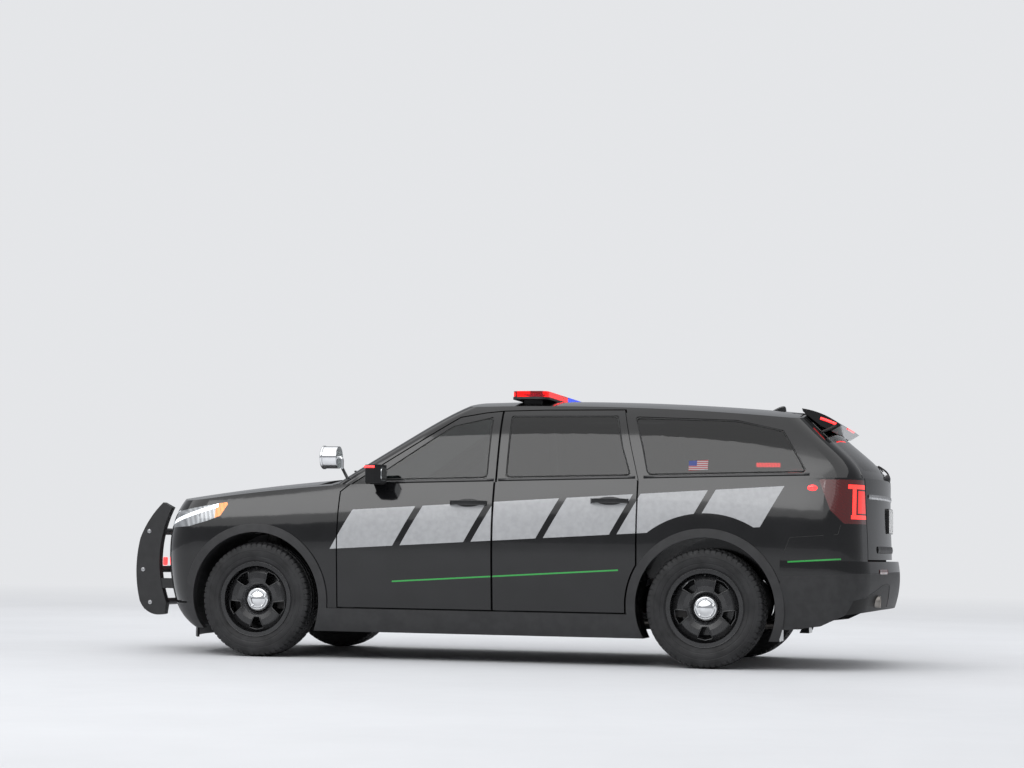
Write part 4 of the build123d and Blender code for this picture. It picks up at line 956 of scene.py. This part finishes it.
# Exhaust, with its outlets in the lower corners of the rear bumper cover
TIP_Y, TIP_Z = 0.62, 0.437
TIP = ((-0.08, 0.027), (-0.055, 0.037), (0.02, 0.0375), (0.022, 0.036), (0.02, 0.0345), (-0.05, 0.034),
       (-0.0505, 0.0001))
MAIN_PIPE = ((1.0, -0.12, 0.245), (0.3, -0.12, 0.245), (-0.3, -0.25, 0.245), (-1.9, -0.25, 0.245),
             (-2.02, -0.25, 0.25), (-2.14, -0.25, 0.38))
HANGERS = ((0.15, -0.16, 0.27, 0.285), (0.8, -0.12, 0.26, 0.285), (-0.7, -0.25, 0.26, 0.285),
           (-2.23, 0.0, 0.46, 0.64))
RECESS_RIM = ((0.36, 0.4), (0.4, 0.545), (0.56, 0.54), (0.88, 0.452))
BUMPER_SEAM = ((-2.0, 0.7), (-2.051, 0.834), (-2.35, 0.857), (-2.366, 0.92))


def add_exhaust(piece, bevel=0.0):
    settle(piece, exhaust_steel, bevel=bevel)
    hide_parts("exhaust")


add_exhaust(tube("exhaust_pipe", MAIN_PIPE, 0.028))
middle_box = rounded_outline(0.2, 0.078, 0.034, centre=(-0.16, 0.244))
add_exhaust(extruded("exhaust_middle_box", middle_box, -0.15, 0.25, "YZ"), 0.008)
rear_box = rounded_outline(0.2, 0.14, 0.055, centre=(-2.23, 0.4))
add_exhaust(extruded("exhaust_rear_box", rear_box, -0.42, 0.42), 0.012)
for number, (x, y, low, high) in enumerate(HANGERS):
    line = [(x, y, low), (x, y + 0.01, (low + high) / 2), (x, y, high)]
    add_exhaust(tube(f"exhaust_hanger_{number}", line, 0.007))
for side, tag in SIDES:
    mouth = end_x(side * TIP_Y, TIP_Z, 0.0, -1)
    line = on_both(((-2.3, 0.3, 0.4), (-2.38, 0.3, 0.4), (-2.44, 0.5, 0.425), (mouth.x + 0.1, TIP_Y, TIP_Z),
                    (mouth.x + 0.05, TIP_Y, TIP_Z)), side)
    add_exhaust(tube(f"exhaust_outlet_{tag}", line, 0.026))
    tip = lathe(f"exhaust_tip_{tag}", TIP, 48)
    tip.matrix_world = standing(mouth, pi / 2)
    add_exhaust(tip)
    rim = [end_x(side * y, z, 0.0, -1) for y, z in along(RECESS_RIM, even(0, 0.9, 8))]
    settle(tube(f"exhaust_recess_rim_{tag}", rim, 0.003), black_plastic)
    seam = [side_y(x, z, 0.0, side) for x, z in along(BUMPER_SEAM, even(0, 0.92, 10))]
    settle(tube(f"bumper_seam_{tag}", seam, 0.0018), rubber)

# Push bumper
UPRIGHT_Y = 0.33
UPRIGHT_FRONT = ((2.463, 1.03), (2.53, 0.955), (2.585, 0.87), (2.63, 0.77), (2.648, 0.66), (2.6525, 0.56),
                 (2.645, 0.45), (2.624, 0.345), (2.59, 0.285), (2.545, 0.258), (2.49, 0.25))
BOLT = ((0.0, 0.016), (0.003, 0.016), (0.0035, 0.0105), (0.0105, 0.0105), (0.011, 0.009), (0.011, 0.0001))
for side, tag in SIDES:
    line = [Vector((x, side * UPRIGHT_Y, z)) for x, z in UPRIGHT_FRONT]
    rows = []
    for index, place in enumerate(line):
        outward = toward(heading(line, index).normalized().cross(LEFTWARD), FORWARD)
        rows.append((place - outward * 0.004, outward, LEFTWARD))
    settle(ribbon(f"push_rubber_{tag}", rows, 0.052, 0.007), rubber)
    outline = rounded_outline(0.03, 0.058, 0.009, centre=(2.43, 0.62))
    lamp_head = extruded(f"push_lamp_{tag}", outline, side * 0.355, side * 0.372)
    settle(lamp_head, red_glow, bevel=0.003)
for x, z in ((2.56, 0.83), (2.6, 0.56), (2.54, 0.33)):
    for side, tag in SIDES:
        bolt = lathe(f"push_bolt_{tag[0]}_{int(z * 100)}", BOLT, 6)
        bolt.matrix_world = standing((x, side * 0.36, z), half_turn(side))
        settle(bolt, satin_steel, smooth=False)

# Light bar: lamp heads behind the lens
BAR_X, BAR_Z = -0.268, 1.771
BAR_HEADS = 10
for number, y in enumerate(even(-0.54, 0.54, BAR_HEADS)):
    slot, glow = ("red_lamp", red_glow) if y > 0 else ("blue_lamp", blue_glow)
    for end, letter in ((1, "f"), (-1, "b")):
        outline = rounded_outline(0.088, 0.026, 0.006, centre=(y, BAR_Z))
        near, far = BAR_X + end * 0.098, BAR_X + end * 0.113
        settle(extruded(f"bar_head_{number}_{letter}", outline, near, far, "YZ"), glow, bevel=0.002)

# Spotlight
SPOT_GLASS = ((0.0, 0.074), (0.006, 0.0755), (0.011, 0.074), (0.012, 0.0705), (0.0085, 0.068), (0.011, 0.05),
              (0.0135, 0.03), (0.0145, 0.0001))
SPOT_RING = ((-0.004, 0.0745), (-0.002, 0.0785), (0.008, 0.079), (0.0125, 0.0765), (0.012, 0.0735))
SPOT_Y, SPOT_Z = 0.905, 1.331
for part, profile, x, slot, material in (("glass", SPOT_GLASS, 1.064, "clear_lamp", white_glow),
                                         ("ring", SPOT_RING, 1.062, "bright_metal", chrome)):
    piece = lathe(f"spotlight_{part}", profile, 64)
    piece.matrix_world = standing((x, SPOT_Y, SPOT_Z), -pi / 2)
    settle(piece, material)

# Lamps of the spoiler
for side, tag in SIDES:
    line = on_both(((-2.2, 0.602, 1.607), (-2.25, 0.603, 1.592), (-2.3, 0.603, 1.569)), side)
    settle(tube(f"spoiler_lamp_{tag}", line, 0.0085), red_glow, "tailgate")
line = [(-2.334, y, 1.5615) for y in even(-0.2, 0.2, 9)]
settle(tube("high_stop_lamp", line, 0.006), red_glow, "tailgate")

# Plate with its screws
PLATE_BACK = -2.6035
PLATE_Z = 0.955
SCREW = ((0.0, 0.0058), (0.0018, 0.0055), (0.0028, 0.0038), (0.003, 0.0001))
outline = rounded_outline(0.305, 0.152, 0.012, centre=(0, PLATE_Z))
plate = extruded("number_plate", outline, PLATE_BACK, -2.6012, "YZ")
settle(plate, plate_white, "tailgate", smooth=False, bevel=0.0008)
for index, (y, z) in enumerate(((0.0889, 1.0153), (-0.0889, 1.0153), (0.0889, 0.8947), (-0.0889, 0.8947))):
    screw = lathe(f"plate_screw_{index}", SCREW, 20)
    screw.matrix_world = standing((PLATE_BACK, y, z), pi / 2)
    settle(screw, satin_steel, "tailgate")


def rear_strip(name, z, stations, width, thickness, material, body="vehicle"):
    """Strip across the rear at one height, through stations along Y."""
    places = [end_x(y, z, 0.0, -1) for y in stations]
    rows = []
    for index, place in enumerate(places):
        normal = UP.cross(heading(places, index).normalized()).normalized()
        rows.append((place, toward(normal, -FORWARD), UP))
    settle(ribbon(name, rows, width, thickness), material, body)


rear_strip("tail_bright_strip", 1.102, even(-0.66, 0.66, 22), 0.034, 0.006, satin_steel,
           "tailgate")
rear_strip("tail_grip_strip", 0.765, even(-0.5, 0.5, 22), 0.05, 0.008, black_plastic,
           "tailgate")
# The reflectors take the tail lens material, whose faint red emission outside the lit parts makes them glow
# a little though they are no lamps: painted light.
for side, tag in SIDES:
    stations = [side * y for y in even(0.45, 0.63, 9)]
    rear_strip(f"bumper_reflector_{tag}", 0.625, stations, 0.034, 0.005, tail_glass)

# Arm rests and release handles on the inner faces of the doors
ARM_REST_LOW, ARM_REST_HIGH = 0.83, 0.885
RELEASE_Z = 0.955


def inner_face(leaf, x, z, side):
    """Distance of a door's inner face from the middle plane."""
    return abs(leaf.ray_cast(Vector((x, 0.6 * side, z)), Vector((0, side, 0)))[0].y)


def inner_fitting(name, outline, low, high, side, material, body, bevel, segments=2):
    piece = extruded(name, outline, *sorted((low * side, high * side)))
    settle(piece, material, body, smooth=False, bevel=bevel, segments=segments)


for row, bodies, front, back in (("f", FRONT_DOORS, 0.42, -0.02), ("r", REAR_DOORS, -0.4, -0.74)):
    for side, tag in SIDES:
        node = f"door_{row}{tag[0]}"
        leaf = surface_of(node)
        depths = [inner_face(leaf, x, ARM_REST_LOW, side) for x in even(front, back, 5)]
        middle = ((front + back) / 2, (ARM_REST_LOW + ARM_REST_HIGH) / 2)
        outline = rounded_outline(front - back, ARM_REST_HIGH - ARM_REST_LOW, 0.02, centre=middle)
        inner_fitting(f"{node}_arm_rest", outline, min(depths) - 0.045, max(depths) + 0.002, side,
                      dash_plastic, bodies[side], 0.008, 3)
        outline = rounded_outline(0.11, 0.026, 0.012, centre=(front - 0.02, RELEASE_Z))
        depth = inner_face(leaf, front - 0.02, RELEASE_Z, side)
        inner_fitting(f"{node}_release_handle", outline, depth - 0.014, depth + 0.004, side,
                      satin_steel, bodies[side], 0.004)

# Rubber seal in the gap beside the tailgate
SEAL_LINE = ((0.7, 0.72), (0.7, 1.24), (0.601, 1.575))
for side, tag in SIDES:
    line = [(end_x(side * (y - 0.03), z, 0.0, -1).x + 0.032, side * y, z)
            for y, z in along(SEAL_LINE, even(0, 0.96, 14))]
    settle(tube(f"tailgate_seal_{tag}", line, 0.0095), rubber)

# Rear wiper
WIPER_HUB = ((-0.005, 0.03), (0.012, 0.029), (0.022, 0.022), (0.026, 0.012), (0.027, 0.0001))
wiper_hub = lathe("rear_wiper_hub", WIPER_HUB, 28)
wiper_hub.matrix_world = standing(end_x(0.0, 1.235, 0.0, -1), pi / 2)
settle(wiper_hub, black_plastic, "tailgate")
line = [end_x(-y, z, lift, -1) for y, z, lift in ((0, 1.235, 0.022), (0.08, 1.262, 0.026), (0.2, 1.3, 0.02),
                                                  (0.32, 1.325, 0.014))]
settle(tube("rear_wiper_arm", line, 0.006), black_plastic, "tailgate")
line = [end_x(-y, 1.288 + 0.16 * (y - 0.1), 0.007, -1) for y in even(0.1, 0.5, 9)]
settle(tube("rear_wiper_blade", line, 0.0045), rubber, "tailgate")

# Front wipers and antenna
for index, (start, end) in enumerate((((1.02, 0.12), (0.905, 0.72)), ((1.02, -0.52), (0.975, 0.06)))):
    pivot = top_z(1.085, start[1] - 0.03, 0.012)
    blade = [top_z(*part_way(start, end, share), 0.012) for share in even(0, 1, 12)]
    settle(tube(f"front_wiper_blade_{index}", blade, 0.006), rubber)
    middle = blade[6] + UP * 0.012
    arm = [pivot, pivot + Vector((-0.03, 0.05, 0.03)), (pivot + middle) / 2 + UP * 0.02, middle]
    settle(tube(f"front_wiper_arm_{index}", arm, 0.006), black_plastic)
roof_z = top_z(-1.84, 0.0).z
FIN = ((-1.79, -0.004), (-1.82, 0.012), (-1.862, 0.034), (-1.89, 0.038), (-1.9, 0.03), (-1.905, -0.004))
fin = extruded("roof_antenna", [(x, z + roof_z) for x, z in FIN], -0.017, 0.017)
settle(fin, paint_plain, bevel=0.009, level=2)

# Front of the body in plan: its middle, and its fall at a half width
FRONT_X = 2.33
FRONT_FALL = 0.305
FRONT_HALF = 0.97
WIRE_RADIUS = 0.0028


def woven(name, low, high, half, inset):
    """Wire mesh bowed like the front of the body."""
    heights = even(low, high, int((high - low) / 0.026))
    spread = even(-half, half, int(2 * half / 0.03))
    wires = [[(y, z) for y in even(-half, half, 13)] for z in heights]
    wires += [[(y, z) for z in (low, high)] for y in spread]
    bowed = [[(FRONT_X - inset - FRONT_FALL * (y / FRONT_HALF) ** 2, y, z) for y, z in wire]
             for wire in wires]
    settle(bars(name, bowed, WIRE_RADIUS, resolution=0, smooth=False), gloss_plastic)


woven("grille_mesh", 0.63, 0.95, 0.47, 0.075)
woven("intake_mesh", 0.31, 0.51, 0.52, 0.06)


# Seats, each a padded piece over its plain solid
def cushion_mesh(name, outline, y0, y1, crown, channel_count, slices=26):
    """Crowned pad over a side outline, narrower and rounder towards its ends across."""
    count = len(outline)
    points = []
    centre = Vector((sum(p[0] for p in outline) / count, sum(p[1] for p in outline) / count))
    for index in range(slices + 1):
        share = index / slices
        edge = min(share, 1 - share) * 2
        swell = 1 - crown * (1 - min(1, edge * 4)) ** 2
        groove = 1 - 0.012 * (abs(sin(pi * channel_count * share)) < 0.16)
        for corner in outline:
            spot = centre + (Vector(corner) - centre) * swell * groove
            points.append((spot.x, y0 + (y1 - y0) * share, spot.y))
    faces = grid_faces(slices + 1, count, closed=True)
    faces += [tuple(range(count - 1, -1, -1)), tuple(range(slices * count, (slices + 1) * count))]
    return mesh_piece(name, points, faces)


def smooth_outline(points, steps=5, radius=0.03):
    """Outline with rounded corners."""
    result = []
    for index, corner in enumerate(points):
        corner = Vector(corner)
        before = Vector(points[index - 1]) - corner
        after = Vector(points[(index + 1) % len(points)]) - corner
        cut = min(radius, before.length / 2.2, after.length / 2.2)
        first, last = corner + before.normalized() * cut, corner + after.normalized() * cut
        for t in even(0, 1, steps):
            result.append(tuple(first * (1 - t) ** 2 + corner * (2 * t * (1 - t)) + last * t ** 2))
    return result


def add_cushion(name, part, low, high, crown, channels, node):
    """Padded piece from a side outline and its corner radius."""
    outline, radius = part
    piece = cushion_mesh(name, smooth_outline(outline, radius=radius), low, high, crown, channels)
    settle(piece, seat_cloth, level=1)
    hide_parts(node)


SEAT_PARTS = {
    "cushion": (((0.52, 0.475), (0.52, 0.588), (0.44, 0.624), (0.07, 0.59), (0.02, 0.475)), 0.03),
    "back": (((0.05, 0.5), (0.068, 0.6), (-0.07, 1.118), (-0.185, 1.118), (-0.075, 0.53)), 0.035),
    "rest": (((-0.073, 1.14), (-0.09, 1.298), (-0.165, 1.305), (-0.182, 1.14)), 0.028),
}
SEAT_SPANS = {"cushion": (0.155, 0.635, 3), "back": (0.155, 0.635, 3), "rest": (0.285, 0.505, 0)}
SEAT_BASE = ((0.42, 0.335), (0.44, 0.47), (0.04, 0.47), (0.06, 0.335))
BENCH_PARTS = {
    "cushion": (((-0.42, 0.485), (-0.42, 0.608), (-0.5, 0.638), (-0.82, 0.6), (-0.9, 0.485)), 0.03),
    "back": (((-0.8, 0.5), (-0.825, 0.6), (-0.962, 1.148), (-1.055, 1.156), (-1.0, 0.7), (-0.905, 0.5)),
             0.035),
}
BENCH_SPANS = ((-0.638, -0.217), (-0.213, 0.213), (0.217, 0.638))
for side, tag in SIDES:
    for name, part in SEAT_PARTS.items():
        low, high, channels = SEAT_SPANS[name]
        add_cushion(f"front_seat_{name}_{tag}", part, side * low, side * high, 0.16, channels, "front_seats")
    for y in (0.33, 0.46):
        line = on_both(((-0.125, y, 1.1), (-0.128, y, 1.16)), side)
        settle(tube(f"rest_post_{tag}_{int(y * 100)}", line, 0.006), chrome)
    base = extruded(f"seat_base_{tag}", smooth_outline(SEAT_BASE, radius=0.02), side * 0.2, side * 0.59)
    settle(base, black_plastic, bevel=0.006)
for name, part in BENCH_PARTS.items():
    for index, (low, high) in enumerate(BENCH_SPANS):
        add_cushion(f"rear_bench_{name}_{index}", part, low, high, 0.1, 2, "rear_seat")

# Dashboard and steering wheel details
screen = extruded("centre_display", rounded_outline(0.26, 0.15, 0.012, centre=(0, 1.0)), 0.632, 0.648, "YZ")
settle(screen, screen_face, smooth=False, bevel=0.003)
outline = smooth_outline(((0.66, 1.03), (0.64, 1.13), (0.7, 1.165), (0.87, 1.135), (0.86, 1.08)))
settle(extruded("instrument_hood", outline, 0.24, 0.55), dash_plastic, bevel=0.012)
for index, y in enumerate((-0.66, -0.22, 0.22, 0.66)):
    for slat in range(4):
        z = 0.965 + slat * 0.014
        line = [(0.652, y - 0.055, z), (0.649, y, z), (0.652, y + 0.055, z)]
        settle(tube(f"vent_slat_{index}_{slat}", line, 0.003), gloss_plastic)
AIRBAG = ((-0.004, 0.07), (0.008, 0.069), (0.016, 0.062), (0.021, 0.045), (0.023, 0.02), (0.0232, 0.0001))
WHEEL_TILT = radians(24)
airbag = lathe("wheel_airbag", AIRBAG, 48)
rearward = Vector((-cos(WHEEL_TILT), 0, sin(WHEEL_TILT)))
wheel_axes = Matrix((LEFTWARD, rearward, Vector((sin(WHEEL_TILT), 0, cos(WHEEL_TILT))))).transposed()
airbag.matrix_world = Matrix.Translation((0.56, 0.395, 0.93)) @ wheel_axes.to_4x4()
settle(airbag, dash_plastic, "hand_wheel")
